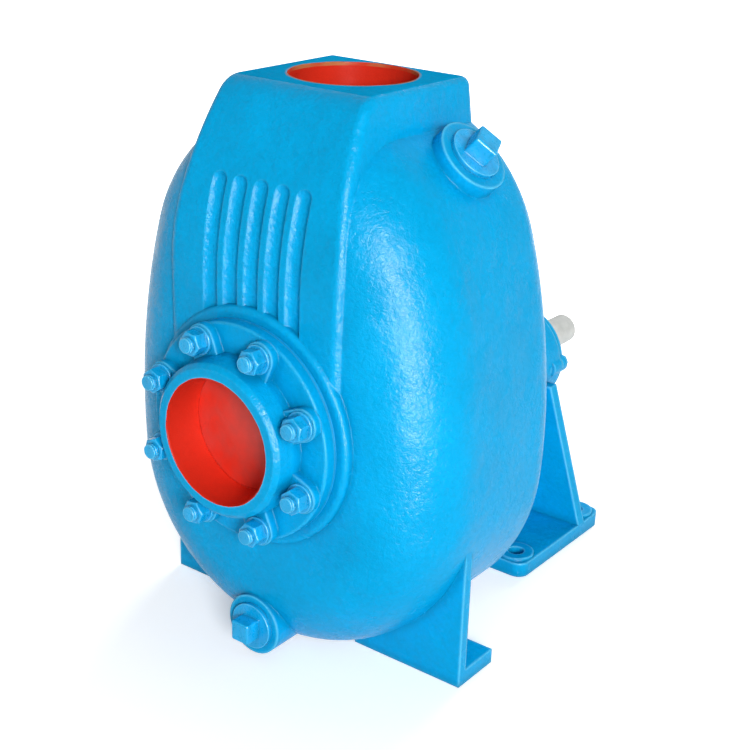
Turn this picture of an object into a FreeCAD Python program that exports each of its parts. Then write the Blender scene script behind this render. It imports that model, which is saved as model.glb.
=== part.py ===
import FreeCAD, Part
import math
import os

import Sketcher
from FreeCAD import Placement, Rotation, Vector

# A self-priming centrifugal pump on its own feet, in millimetres.
# X runs across the pump, Y from the suction (low) to the driven shaft end (high), Z up from the feet.

DIMENSIONS = (
    ("shaft_height", 173.4, "shaft axis above the feet"),
    ("suction_height", 231, "suction axis above the feet"),
    ("port_radius", 55, "bore of the suction and discharge ports"),
    ("casing_wall", 9, "cast wall of the casing"),
    ("tank_clearance", 3, "underside of the tank above the feet"),
    ("tank_lower_radius", 176, "lower arc of the tank outline"),
    ("tank_side_radius", 630, "side arc of the tank outline"),
    ("tank_shoulder_radius", 152, "shoulder arc of the tank outline"),
    ("tank_height", 495.3, "top of the tank above the feet"),
    ("tank_crown_half", 4.6, "half the flat between the shoulder arcs"),
    ("tank_front", -239, "front face of the tank"),
    ("tank_depth", 207, "front face to rear face of the tank"),
    ("tank_front_round", 75, "rounding of the tank's front edge"),
    ("tank_rear_round", 32, "rounding of the tank's rear edge"),
    ("panel_stand_out", 5, "front panel proud of the tank"),
    ("panel_foot", 200, "lower end of the front panel"),
    ("panel_lean_start", 350, "height where the panel starts to lean back"),
    ("panel_lean_radius", 270, "curve of the leaning panel"),
    ("panel_taper_angle", 8.34, "taper of the panel's sides above their bend"),
    ("panel_taper_start", 395, "where the panel's sides start to taper"),
    ("panel_side_radius", 345, "bend of the panel's sides"),
    ("panel_top_round", 25, "rounding between the panel and the discharge pad"),
    ("panel_edge_round", 9, "rounding of the panel's edges"),
    ("pad_rise", 15.7, "discharge pad above the tank"),
    ("pad_half_width", 76, "half the width of the discharge pad"),
    ("pad_rear", -47.5, "rear face of the discharge pad"),
    ("pad_thickness", 24, "thickness of the discharge pad"),
    ("discharge_place", -114, "discharge axis along the pump"),
    ("flute_count", 5, "upright grooves on the panel"),
    ("flute_pitch", 22.3, "spacing of the upright grooves"),
    ("flute_radius", 9.5, "section radius of an upright groove"),
    ("flute_depth", 4.2, "upright grooves below the panel's face"),
    ("flute_foot", 300, "lower end of the upright grooves"),
    ("flute_angle", 18, "how far the grooves follow the leaning panel"),
    ("suction_pad_radius", 106, "round suction pad on the panel"),
    ("suction_pad_stand_out", 8.5, "suction pad proud of the tank"),
    ("suction_pad_round", 5, "rounding of the suction pad's edge"),
    ("suction_pad_depth", 27.5, "suction pad face to the suction chamber"),
    ("suction_opening_radius", 71, "opening behind the suction flange"),
    ("gasket_thickness", 1.5, "suction gasket"),
    ("flange_radius", 96, "suction flange plate"),
    ("flange_thickness", 12, "suction flange plate"),
    ("neck_length", 27, "suction flange plate to its mouth"),
    ("neck_radius", 63.5, "outside of the suction neck at its mouth"),
    ("hub_radius", 70, "root of the suction neck"),
    ("neck_edge", 4, "sloping edge between the neck's mouth and its hub"),
    ("flange_edge_round", 2, "rounding of the flange plate's edge"),
    ("stud_circle_radius", 83.3, "circle of the suction studs"),
    ("stud_count", 8, "suction studs"),
    ("stud_first_angle", 22.5, "first suction stud above the horizontal"),
    ("stud_radius", 6.35, "suction stud"),
    ("stud_depth", 18, "suction stud in the casing"),
    ("stud_beyond_nut", 5, "suction stud past its nut"),
    ("stud_boss_radius", 14, "boss under a suction nut"),
    ("stud_boss_height", 8.5, "boss under a suction nut"),
    ("washer_radius", 12.5, "washer under a suction nut"),
    ("washer_thickness", 2.5, "washer under a suction nut"),
    ("nut_flats", 19, "suction nut across its flats"),
    ("nut_height", 11, "suction nut"),
    ("thread_clearance", 0.05, "radial room of a threaded fit"),
    ("hole_clearance", 0.6, "radial room of a bolt in its through hole"),
    ("seat_gap", 0.3, "room between a closed moving piece and its seat"),
    ("running_clearance", 0.05, "radial room of a running fit"),
    ("chamber_half_width", 80, "suction chamber"),
    ("chamber_top", 325, "roof of the suction chamber"),
    ("chamber_floor", 100, "floor of the suction chamber"),
    ("chamber_corner", 30, "corner of the suction chamber"),
    ("chamber_rear", -128, "rear wall of the suction chamber"),
    ("eye_radius", 52, "opening from the suction chamber to the impeller"),
    ("volute_start_radius", 98, "volute at its tongue"),
    ("volute_growth", 8, "growth of the volute in each quarter"),
    ("volute_throat", 76, "height of the volute's throat"),
    ("volute_rear", -58, "rear wall of the volute"),
    ("tongue_relief", 0.5, "volute's tongue set back from its start"),
    ("rear_opening_radius", 106, "opening for the rotating assembly"),
    ("rear_pad_radius", 134, "round pad at the casing's rear"),
    ("rear_pad_height", 8, "round pad at the casing's rear"),
    ("rear_bolt_circle", 120, "circle of the rear bolts"),
    ("rear_bolt_count", 8, "rear bolts"),
    ("rear_bolt_radius", 6, "rear bolts"),
    ("rear_bolt_flats", 18, "rear bolt head across its flats"),
    ("rear_bolt_head", 8, "rear bolt head"),
    ("rear_bolt_grip", 20, "rear bolt in the casing"),
    ("leg_front", -161, "front face of the front legs"),
    ("leg_thickness", 10, "front leg's web"),
    ("leg_half_width", 170, "outside of the front legs"),
    ("leg_inner", 54, "inner end of a front leg's lower edge"),
    ("leg_top", 150, "upper end of a front leg"),
    ("front_foot_depth", 53, "front foot along the pump"),
    ("front_foot_width", 66, "front foot across the pump"),
    ("front_foot_thickness", 14, "front foot"),
    ("front_foot_hole_inset", 24, "front foot's hole from its outer edge"),
    ("foot_hole_radius", 8, "foundation bolt holes"),
    ("fill_angle", 45.5, "fill plug's lean from the horizontal"),
    ("fill_place", -106, "fill plug along the pump"),
    ("fill_boss_radius", 32.5, "boss round the fill plug"),
    ("fill_boss_height", 11.5, "boss round the fill plug above the tank"),
    ("fill_thread_radius", 20.5, "fill plug's thread"),
    ("fill_collar_radius", 23, "fill plug's collar"),
    ("fill_head_width", 21.5, "fill plug's square head"),
    ("fill_head_height", 17, "fill plug's square head"),
    ("fill_head_angle", 28.5, "fill plug's head turned about its axis"),
    ("drain_height", 35.5, "drain plug above the feet"),
    ("drain_boss_front", -241, "front of the boss round the drain plug"),
    ("drain_boss_radius", 28.5, "boss round the drain plug"),
    ("drain_boss_depth", 42, "boss round the drain plug"),
    ("drain_thread_radius", 16.7, "drain plug's thread"),
    ("drain_collar_radius", 21.5, "drain plug's collar"),
    ("drain_head_width", 19.5, "drain plug's square head"),
    ("drain_head_height", 15, "drain plug's square head"),
    ("drain_head_angle", 0, "drain plug's head turned about its axis"),
    ("plug_collar_height", 4, "collar of a plug"),
    ("plug_thread_length", 18, "threaded length of a plug"),
    ("plug_head_round", 2, "rounded corners of a plug's head"),
    ("hinge_rise", 63.5, "flap hinge above the suction axis"),
    ("hinge_set_back", 7, "flap hinge behind its seat"),
    ("hinge_pin_radius", 2.75, "flap hinge pin"),
    ("hinge_ear_radius", 5, "ears that carry the hinge pin"),
    ("hinge_ear_gap", 18, "space between the ears"),
    ("hinge_ear_thickness", 6, "an ear"),
    ("flap_radius", 58, "rubber flap"),
    ("flap_thickness", 6, "rubber flap"),
    ("flap_plate_radius", 48, "plate behind the flap"),
    ("flap_plate_thickness", 5, "plate behind the flap"),
    ("arm_width", 17, "flap arm"),
    ("arm_thickness", 6, "flap arm"),
    ("flap_bolt_radius", 5, "bolt through the arm into the plate"),
    ("flap_bolt_flats", 16, "head of the flap bolt across its flats"),
    ("flap_bolt_head", 6, "head of the flap bolt"),
    ("wear_plate_radius", 92, "wear plate"),
    ("wear_plate_thickness", 8, "wear plate"),
    ("wear_spigot", 7, "wear plate's spigot in the eye"),
    ("wear_eye_radius", 46, "eye of the wear plate"),
    ("wear_screw_circle", 76, "circle of the wear plate's screws"),
    ("wear_screw_count", 4, "wear plate's screws"),
    ("wear_screw_radius", 4, "wear plate's screws"),
    ("wear_screw_length", 16, "wear plate's screws"),
    ("wear_head_radius", 7.5, "countersunk heads of the wear plate's screws"),
    ("wear_head_height", 4, "countersunk heads of the wear plate's screws"),
    ("vane_gap", 0.6, "room between the vanes and the wear plate"),
    ("vane_height", 38, "impeller vanes along the shaft"),
    ("vane_count", 4, "impeller vanes"),
    ("vane_root_angle", 24, "front of a vane's root round the shaft"),
    ("vane_back_angle", -6, "back of a vane's root round the shaft"),
    ("vane_tip_angle", -78, "front of a vane's tip round the shaft"),
    ("vane_end_angle", -85, "back of a vane's tip round the shaft"),
    ("vane_front_bend", 58, "bend of a vane's front"),
    ("vane_back_bend", 54.5, "bend of a vane's back"),
    ("impeller_radius", 88, "impeller"),
    ("shroud_thickness", 8, "impeller's back shroud"),
    ("impeller_hub_radius", 25, "impeller's hub"),
    ("impeller_hub_front", -100, "front of the impeller's hub"),
    ("impeller_hub_rear", -52, "rear of the impeller's hub"),
    ("impeller_seat_radius", 15, "shaft in the impeller"),
    ("impeller_seat_recess", 2, "shaft end behind the impeller's hub"),
    ("impeller_key_width", 8, "impeller key"),
    ("impeller_key_height", 7, "impeller key"),
    ("impeller_key_length", 34, "impeller key"),
    ("impeller_key_inset", 4, "impeller key from the shaft's front end"),
    ("impeller_washer_radius", 18, "washer on the impeller's hub"),
    ("impeller_washer_thickness", 4, "washer on the impeller's hub"),
    ("impeller_bolt_radius", 6, "bolt in the shaft's front end"),
    ("impeller_bolt_flats", 18, "bolt head across its flats"),
    ("impeller_bolt_head", 8, "bolt head"),
    ("impeller_bolt_length", 34, "bolt behind its washer"),
    ("sleeve_seat_radius", 17, "shaft in its sleeve"),
    ("sleeve_radius", 21, "shaft sleeve"),
    ("sleeve_length", 106, "shaft sleeve"),
    ("bearing_seat_radius", 20, "shaft in the bearings"),
    ("shaft_shoulder_radius", 24, "shaft between the bearings"),
    ("shaft_seal_radius", 18, "shaft in the outer lip seal"),
    ("shaft_seal_end", 196, "end of the shaft's sealing land"),
    ("shaft_end_radius", 15.875, "driven end of the shaft"),
    ("shaft_end", 288, "driven end of the shaft"),
    ("shaft_chamfer", 2, "bevel of the shaft's end"),
    ("coupling_key_width", 8, "coupling key"),
    ("coupling_key_height", 7, "coupling key"),
    ("coupling_key_length", 60, "coupling key"),
    ("coupling_key_inset", 6, "coupling key from the shaft's end"),
    ("seal_chamber_radius", 33, "bore round the shaft seal"),
    ("seal_chamber_rear", -26, "end of the bore round the shaft seal"),
    ("seal_pocket_radius", 31, "pocket of the seal's seat"),
    ("seal_pocket_depth", 11, "pocket of the seal's seat"),
    ("seal_hub_radius", 43, "hub of the seal plate"),
    ("seal_hub_rear", -12, "rear of the seal plate's hub"),
    ("seal_shaft_hole_radius", 24, "hole of the seal plate round the sleeve"),
    ("seal_plate_wall", 12, "wall of the seal plate"),
    ("seal_plate_rim", 14, "rim of the seal plate"),
    ("ring_thickness", 1, "flat ring between the casing and the seal plate"),
    ("spigot_clearance", 0.1, "radial room of the seal plate in the casing"),
    ("seat_ring_radius", 28, "seal's fixed seat"),
    ("seat_ring_bore", 23, "seal's fixed seat"),
    ("seat_ring_thickness", 9, "seal's fixed seat"),
    ("face_ring_radius", 27, "seal's turning face"),
    ("face_ring_thickness", 7, "seal's turning face"),
    ("face_gap", 0.1, "film between the seal faces"),
    ("bellows_wall", 2.5, "seal's rubber bellows"),
    ("bellows_length", 14, "seal's rubber bellows"),
    ("spring_radius", 27.5, "seal's spring, to the middle of its wire"),
    ("spring_turns", 5, "seal's spring"),
    ("retainer_radius", 31, "ring behind the seal's spring"),
    ("retainer_thickness", 2.5, "ring behind the seal's spring"),
    ("frame_flange_thickness", 14, "bearing frame's flange"),
    ("lantern_flange_radius", 108, "lantern at its flange"),
    ("lantern_bore_radius", 96, "bore of the lantern at its flange"),
    ("lantern_end", 75, "rear end of the lantern's cone"),
    ("lantern_wall", 10, "wall of the lantern's cone"),
    ("window_start", 14, "front of the lantern's windows"),
    ("window_length", 32, "lantern's windows along the shaft"),
    ("window_half_height", 26, "lantern's windows"),
    ("frame_tube_radius", 57, "outside of the bearing tube"),
    ("frame_tube_end", 182, "rear end of the bearing tube"),
    ("bearing_radius", 45, "outside of both bearings"),
    ("bearing_width", 23, "both bearings"),
    ("bearing_pitch_radius", 32.5, "circle of the balls"),
    ("ball_radius", 7.5, "balls"),
    ("ball_count", 8, "balls"),
    ("ball_clearance", 0.08, "room of a ball in its track"),
    ("track_shoulder", 4.5, "race shoulders from the circle of the balls"),
    ("cage_half_thickness", 1.5, "cage, half its radial thickness"),
    ("cage_half_width", 9.5, "cage, half its width"),
    ("cage_pocket_clearance", 0.3, "room of a ball in its cage"),
    ("inboard_place", 76, "front face of the inboard bearing"),
    ("outboard_place", 152, "front face of the outboard bearing"),
    ("frame_seal_radius", 31, "inner lip seal"),
    ("lip_seal_width", 8, "both lip seals"),
    ("lip_wall", 2.5, "wall of the lip seals"),
    ("snap_ring_thickness", 2, "retaining ring"),
    ("snap_ring_height", 2.5, "retaining ring above the shaft"),
    ("snap_groove_depth", 1, "groove of the retaining ring"),
    ("snap_ring_angle", 320, "arc of the retaining ring"),
    ("slinger_radius", 29, "water slinger"),
    ("slinger_thickness", 5, "water slinger"),
    ("slinger_place", 57, "water slinger along the shaft"),
    ("cap_gasket_thickness", 0.5, "gasket of the bearing cap"),
    ("cap_radius", 54, "bearing cap"),
    ("cap_thickness", 9, "bearing cap's rim"),
    ("cap_hub_radius", 36, "bearing cap's hub"),
    ("cap_hub_height", 5, "bearing cap's hub above its rim"),
    ("cap_seal_radius", 26, "outer lip seal"),
    ("cap_shaft_hole_radius", 19, "hole of the bearing cap round the shaft"),
    ("cap_bolt_circle", 51, "circle of the bearing cap's bolts"),
    ("cap_bolt_count", 4, "bearing cap's bolts"),
    ("cap_bolt_radius", 4, "bearing cap's bolts"),
    ("cap_bolt_flats", 13, "cap bolt head across its flats"),
    ("cap_bolt_head", 5.5, "cap bolt head"),
    ("cap_bolt_grip", 16, "cap bolt in the bearing frame"),
    ("cap_lug_radius", 9.5, "lugs round the cap's bolts"),
    ("rear_foot_half_width", 113, "rear foot"),
    ("rear_foot_front", 36, "front edge of the rear foot"),
    ("rear_foot_length", 161, "rear foot along the pump"),
    ("rear_foot_thickness", 15, "rear foot"),
    ("rear_foot_corner", 12, "corner rounding of the rear foot"),
    ("rear_boss_radius", 18, "raised boss round a foot hole"),
    ("rear_boss_height", 3, "raised boss round a foot hole"),
    ("rear_hole_inset", 20, "rear foot's holes from its edges"),
    ("rear_web_place", 149, "front face of the rear cross web"),
    ("rear_web_thickness", 12, "rear cross web"),
    ("rear_web_top", 66, "half the width of the cross web at the tube"),
    ("rear_rib_thickness", 12, "rib under the bearing tube"),
)


class Size:
    """A length worked out from the sheet: its number now, and the expression that keeps it live."""

    def __init__(self, value, text):
        self.value = value
        self.text = text

    def __add__(self, other):
        return Size(self.value + number(other), "(" + self.text + " + " + words(other) + ")")

    def __radd__(self, other):
        return Size(number(other) + self.value, "(" + words(other) + " + " + self.text + ")")

    def __sub__(self, other):
        return Size(self.value - number(other), "(" + self.text + " - " + words(other) + ")")

    def __rsub__(self, other):
        return Size(number(other) - self.value, "(" + words(other) + " - " + self.text + ")")

    def __mul__(self, other):
        return Size(self.value * number(other), "(" + self.text + " * " + words(other) + ")")

    def __rmul__(self, other):
        return self * other

    def __truediv__(self, other):
        return Size(self.value / number(other), "(" + self.text + " / " + words(other) + ")")

    def __rtruediv__(self, other):
        return Size(number(other) / self.value, "(" + words(other) + " / " + self.text + ")")

    def __neg__(self):
        return Size(-self.value, "(0 - " + self.text + ")")


def number(size):
    """The number of a size now."""
    return size.value if isinstance(size, Size) else float(size)


def words(size):
    """The expression of a size."""
    return size.text if isinstance(size, Size) else repr(float(size))


def root(size):
    return Size(math.sqrt(number(size)), "sqrt(" + words(size) + ")")


def cosine(angle):
    return Size(math.cos(math.radians(number(angle))), "cos(" + words(angle) + ")")


def sine(angle):
    return Size(math.sin(math.radians(number(angle))), "sin(" + words(angle) + ")")


def tangent(angle):
    return Size(math.tan(math.radians(number(angle))), "tan(" + words(angle) + ")")


def leg_of(long_side, short_side):
    """The third side of a right triangle."""
    return root(long_side * long_side - short_side * short_side)


class Sheet:
    """The spreadsheet's dimensions, one attribute for each alias."""


doc = FreeCAD.newDocument("self_priming_pump")
cells = doc.addObject("Spreadsheet::Sheet", "Sizes")
D = Sheet()
for row, (alias, value, note) in enumerate(DIMENSIONS, start=1):
    cells.set(f"A{row}", note)
    cells.set(f"B{row}", str(value))
    cells.setAlias(f"B{row}", alias)
    setattr(D, alias, Size(float(value), "Sizes." + alias))
doc.recompute()


def derived(alias, note, size):
    """Keep a worked-out size in the sheet, so that the expressions which use it stay short."""
    row = len(vars(D)) + 1
    cells.set(f"A{row}", note)
    cells.set(f"B{row}", "=" + words(size).replace("Sizes.", ""))
    cells.setAlias(f"B{row}", alias)
    kept = Size(number(size), "Sizes." + alias)
    setattr(D, alias, kept)
    doc.recompute()
    return kept


# Helpers for sketches, features and placed solids

TOWARDS = {
    "up": Rotation(),
    "front": Rotation(Vector(1, 0, 0), 90),
    "rear": Rotation(Vector(1, 0, 0), -90),
}


def bind(item, field, size):
    item.setExpression(field, words(size))


def new_body(label):
    body = doc.addObject("PartDesign::Body", label)
    body.Label = label
    return body


def sketch(body, plane, level=0, centre=(0, 0), turn=0):
    """A sketch on one of the body's own planes, moved along it, off its centre, or turned in it."""
    drawing = body.newObject("Sketcher::SketchObject", body.Label + "_sketch")
    support = [item for item in body.Origin.OriginFeatures if item.Role == plane + "_Plane"][0]
    drawing.AttachmentSupport = [(support, "")]
    drawing.MapMode = "FlatFace"
    side = -1 if plane == "XZ" else 1
    bind(drawing, "AttachmentOffset.Base.x", centre[0])
    bind(drawing, "AttachmentOffset.Base.y", centre[1])
    bind(drawing, "AttachmentOffset.Base.z", side * level)
    bind(drawing, "AttachmentOffset.Rotation.Angle", turn)
    return drawing


def pin_point(drawing, curve, end, point):
    """Tie one point of a sketch to its two coordinates."""
    for direction, size in zip(("DistanceX", "DistanceY"), point):
        index = drawing.addConstraint(Sketcher.Constraint(direction, curve, end, number(size)))
        bind(drawing, f"Constraints[{index}]", size)


def pin_radius(drawing, curve, radius):
    index = drawing.addConstraint(Sketcher.Constraint("Radius", curve, number(radius)))
    bind(drawing, f"Constraints[{index}]", radius)


def arc_between(start, end, radius, to_left):
    """The shorter arc of a radius between two points, with its centre to the left or the right."""
    span = end - start
    normal = Vector(-span.y, span.x, 0).normalize() * (1 if to_left else -1)
    rise = math.sqrt(max(radius * radius - span.Length * span.Length / 4, 0))
    centre = start + span * 0.5 + normal * rise
    first, last = (start, end) if to_left else (end, start)
    angles = [math.atan2(point.y - centre.y, point.x - centre.x) for point in (first, last)]
    return Part.ArcOfCircle(Part.Circle(centre, Vector(0, 0, 1), radius), angles[0], angles[1])


def path(drawing, corners, closed=True):
    """Draw runs from corner to corner. A corner is (across, up), or (across, up, bend) where the
    run that leaves it is an arc of that radius, its centre to the left, or to the right if negative."""
    points = [Vector(number(corner[0]), number(corner[1]), 0) for corner in corners]
    runs = []
    count = len(corners) if closed else len(corners) - 1
    for index in range(count):
        start, end = points[index], points[(index + 1) % len(points)]
        bend = corners[index][2] if len(corners[index]) > 2 else None
        if bend is None:
            curve = drawing.addGeometry(Part.LineSegment(start, end), False)
            runs.append((curve, 1, 2))
            pin_point(drawing, curve, 1, corners[index][:2])
            continue
        to_left = number(bend) > 0
        radius = bend if to_left else 0 - bend
        curve = drawing.addGeometry(arc_between(start, end, number(radius), to_left), False)
        runs.append((curve, 1, 2) if to_left else (curve, 2, 1))
        pin_point(drawing, curve, runs[-1][1], corners[index][:2])
        pin_radius(drawing, curve, radius)
    for index in range(count if closed else count - 1):
        here, after = runs[index], runs[(index + 1) % count]
        drawing.addConstraint(Sketcher.Constraint("Coincident", here[0], here[2], after[0], after[1]))
    if not closed:
        pin_point(drawing, runs[-1][0], runs[-1][2], corners[-1][:2])
    return drawing


def circle(drawing, centre, radius):
    shape = Part.Circle(Vector(number(centre[0]), number(centre[1]), 0), Vector(0, 0, 1), number(radius))
    curve = drawing.addGeometry(shape, False)
    pin_point(drawing, curve, 3, centre)
    pin_radius(drawing, curve, radius)
    return drawing


def pad(body, drawing, length, towards_normal=True, both_ways=False):
    feature = body.newObject("PartDesign::Pad", body.Label + "_pad")
    feature.Profile = drawing
    feature.SideType = "Symmetric" if both_ways else "One side"
    feature.Reversed = not towards_normal
    bind(feature, "Length", length)
    return feature


def pocket_through(body, drawing):
    feature = body.newObject("PartDesign::Pocket", body.Label + "_pocket")
    feature.Profile = drawing
    feature.SideType = "Symmetric"
    feature.Type = "ThroughAll"
    return feature


def pocket(body, drawing, length, towards_normal=False):
    feature = body.newObject("PartDesign::Pocket", body.Label + "_pocket")
    feature.Profile = drawing
    feature.Reversed = towards_normal
    bind(feature, "Length", length)
    return feature


def repeat_round(body, features, drawing, count):
    """Repeat features round the middle of a sketch."""
    pattern = body.newObject("PartDesign::PolarPattern", body.Label + "_pattern")
    pattern.Originals = features
    pattern.Axis = (drawing, ["N_Axis"])
    pattern.Angle = 360
    bind(pattern, "Occurrences", count)
    body.Tip = pattern
    return pattern


def turn(body, height, corners, sweep=360):
    """Turn a profile of (along the shaft, radius) corners about a line at a height."""
    drawing = path(sketch(body, "YZ", 0, (0, height)), corners)
    feature = body.newObject("PartDesign::Revolution", body.Label + "_turned")
    feature.Profile = drawing
    feature.ReferenceAxis = (drawing, ["H_Axis"])
    bind(feature, "Angle", sweep)
    return feature


def turned(label, height, corners, sweep=360):
    body = new_body(label)
    turn(body, height, corners, sweep)
    return body


def ring(label, height, start, length, inner, outer):
    """A plain ring round a line parallel to the shaft."""
    corners = ((start, inner), (start + length, inner), (start + length, outer), (start, outer))
    return turned(label, height, corners)


def drill_round(body, level, height, circle_radius, first_angle, count, hole_radius):
    """Holes on a circle, right through a body."""
    drawing = sketch(body, "XZ", level, (0, height), first_angle)
    circle(drawing, (circle_radius, 0), hole_radius)
    hole = pocket_through(body, drawing)
    repeat_round(body, [hole], drawing, count)


def round_edges(body, radius, wanted):
    """Round the edges whose middle point passes a test."""
    doc.recompute()
    base = body.Tip
    names = []
    for index, edge in enumerate(base.Shape.Edges, start=1):
        middle = edge.valueAt((edge.FirstParameter + edge.LastParameter) / 2)
        if wanted(middle, edge):
            names.append(f"Edge{index}")
    feature = body.newObject("PartDesign::Fillet", body.Label + "_round")
    feature.Base = (base, names)
    bind(feature, "Radius", radius)
    return feature


def place(item, base, towards="up"):
    item.Placement = Placement(Vector(), TOWARDS[towards])
    for axis, size in zip("xyz", base):
        bind(item, "Placement.Base." + axis, size)
    return item


def cylinder(label, radius, length, base, towards="up"):
    item = doc.addObject("Part::Cylinder", label)
    bind(item, "Radius", radius)
    bind(item, "Height", length)
    return place(item, base, towards)


def box(label, low, size):
    item = doc.addObject("Part::Box", label)
    for field, length in zip(("Length", "Width", "Height"), size):
        bind(item, field, length)
    return place(item, low)


def fuse(label, items):
    item = doc.addObject("Part::MultiFuse", label)
    item.Shapes = items
    return item


def cut(label, base, tool):
    item = doc.addObject("Part::Cut", label)
    item.Base = base
    item.Tool = tool
    return item


def hexagon(label, flats, height, base, towards):
    """A six-sided head whose outer corners are bevelled."""
    prism = doc.addObject("Part::Prism", label + "_prism")
    prism.Polygon = 6
    bind(prism, "Circumradius", flats / 2 / cosine(30))
    bind(prism, "Height", height)
    cone = doc.addObject("Part::Cone", label + "_cone")
    bind(cone, "Radius1", flats * 0.475 + height / tangent(30))
    bind(cone, "Radius2", flats * 0.475)
    bind(cone, "Height", height)
    for item in (prism, cone):
        place(item, base, towards)
    common = doc.addObject("Part::MultiCommon", label)
    common.Shapes = [prism, cone]
    return common


def bolt(label, flats, head, radius, length, base, towards):
    """A hexagon bolt: the head stands on its base point, the shank runs the other way."""
    away = {"front": "rear", "rear": "front"}[towards]
    shank = cylinder(label + "_shank", radius, length, base, away)
    return fuse(label, [hexagon(label + "_head", flats, head, base, towards), shank])


def around(label, piece, height, count, first_angle):
    """Copies of a piece that lies at three o'clock, round a line parallel to the shaft."""
    doc.recompute()
    copies = []
    for index in range(round(number(count))):
        copy = piece.Shape.copy()
        angle = number(first_angle) + index * 360 / number(count)
        copy.rotate(Vector(0, 0, number(height)), Vector(0, -1, 0), angle)
        copies.append(copy)
    item = doc.addObject("Part::Feature", label)
    item.Shape = Part.makeCompound(copies)
    return item


# Places along the pump that several pieces share

tank_rear = D.tank_front + D.tank_depth
pad_face = D.tank_front - D.suction_pad_stand_out
flange_back = pad_face - D.gasket_thickness
flange_front = flange_back - D.flange_thickness
mouth = flange_front - D.neck_length
boss_face = flange_front - D.stud_boss_height
washer_face = boss_face - D.washer_thickness
nut_face = washer_face - D.nut_height
partition_rear = D.chamber_rear + D.casing_wall
wear_face = partition_rear + D.wear_plate_thickness
vane_front = wear_face + D.vane_gap
shroud_front = vane_front + D.vane_height
rear_pad_face = tank_rear + D.rear_pad_height
seal_rim_front = rear_pad_face + D.ring_thickness
seal_rim_rear = seal_rim_front + D.seal_plate_rim
frame_face = seal_rim_rear + D.frame_flange_thickness
shaft_front = D.impeller_hub_front + D.impeller_seat_recess
sleeve_end = D.impeller_hub_rear + D.sleeve_length
inboard_end = D.inboard_place + D.bearing_width
outboard_end = D.outboard_place + D.bearing_width
snap_end = outboard_end + D.snap_ring_thickness
cap_face = D.frame_tube_end + D.cap_gasket_thickness
cap_rim_rear = cap_face + D.cap_thickness
cap_rear = cap_rim_rear + D.cap_hub_height
hinge_height = D.suction_height + D.hinge_rise
hinge_place = flange_back + D.hinge_set_back


# The casing's outside: the tank, the panel with its upright grooves, the pads, bosses and legs

# The side arc touches the lower arc and the shoulder arc from outside, so its centre is where two
# circles round their centres cross.
nothing = Size(0.0, "0")
pad_height = derived("pad_height", "discharge pad above the feet", D.tank_height + D.pad_rise)
lower_centre = derived("lower_centre_up", "lower arc's centre", D.tank_clearance + D.tank_lower_radius)
shoulder_up = derived("shoulder_centre_up", "shoulder arc's centre", D.tank_height - D.tank_shoulder_radius)
lower_reach = derived("lower_reach", "side arc's centre to the lower arc's",
                      D.tank_side_radius - D.tank_lower_radius)
shoulder_reach = derived("shoulder_reach", "side arc's centre to the shoulder arc's",
                         D.tank_side_radius - D.tank_shoulder_radius)
rise = derived("centre_rise", "lower arc's centre up to the shoulder arc's", shoulder_up - lower_centre)
apart = derived("centres_apart", "lower arc's centre to the shoulder arc's",
                root(rise * rise + D.tank_crown_half * D.tank_crown_half))
along = derived("side_along", "side arc's centre along the line of the other two",
                (lower_reach * lower_reach - shoulder_reach * shoulder_reach + apart * apart) / (2 * apart))
aside = derived("side_aside", "side arc's centre off the line of the other two",
                leg_of(lower_reach, along))
side_across = derived("side_centre_across", "side arc's centre across the pump",
                      (along * D.tank_crown_half - aside * rise) / apart)
side_up = derived("side_centre_up", "side arc's centre above the feet",
                  lower_centre + (along * rise + aside * D.tank_crown_half) / apart)
side_centre = (side_across, side_up)
shoulder_centre = (D.tank_crown_half, shoulder_up)
hip_across = derived("hip_across", "direction where the lower arc ends", (0 - side_across) / lower_reach)
hip_up = derived("hip_up", "direction where the lower arc ends", (lower_centre - side_up) / lower_reach)
bend_across = derived("bend_across", "direction where the side arc ends",
                      (D.tank_crown_half - side_across) / shoulder_reach)
bend_up = derived("bend_up", "direction where the side arc ends", (shoulder_up - side_up) / shoulder_reach)
panel_front = D.tank_front - D.panel_stand_out


def tank_shape(label, inset, front_round, rear_round):
    """The tank's rounded block, or its inside at an inset: three tangent arcs, mirrored."""
    lower = D.tank_lower_radius - inset
    side = D.tank_side_radius - inset
    shoulder = D.tank_shoulder_radius - inset
    hip = (lower * hip_across, lower_centre + lower * hip_up)
    bend = (side_centre[0] + side * bend_across, side_centre[1] + side * bend_up)
    top = (shoulder_centre[0], shoulder_centre[1] + shoulder)
    foot = (nothing, lower_centre - lower)
    corners = (
        (foot[0], foot[1], lower),
        (hip[0], hip[1], side),
        (bend[0], bend[1], shoulder),
        top,
        (-top[0], top[1], shoulder),
        (-bend[0], bend[1], side),
        (-hip[0], hip[1], lower),
    )
    body = new_body(label)
    front = D.tank_front + inset
    drawing = path(sketch(body, "XZ", front), corners)
    pad(body, drawing, D.tank_depth - 2 * inset, towards_normal=False)
    doc.recompute()
    front_place = number(front)
    rear_place = number(tank_rear - inset)
    round_edges(body, front_round, lambda point, edge: abs(point.y - front_place) < 0.01)
    round_edges(body, rear_round, lambda point, edge: abs(point.y - rear_place) < 0.01)
    return body


def lean_waste(inset, top_level):
    """Corners of what is cut away in front of the leaning panel, and where its top edge lies."""
    front = panel_front + inset
    lean = D.panel_lean_radius - inset
    top_edge = panel_front + D.panel_lean_radius - leg_of(lean, top_level - D.panel_lean_start)
    spare = D.casing_wall
    corners = (
        (front, D.panel_lean_start, -lean),
        (top_edge, top_level),
        (top_edge, top_level + spare),
        (front - spare, top_level + spare),
        (front - spare, D.panel_lean_start),
    )
    return corners, top_edge


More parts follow.
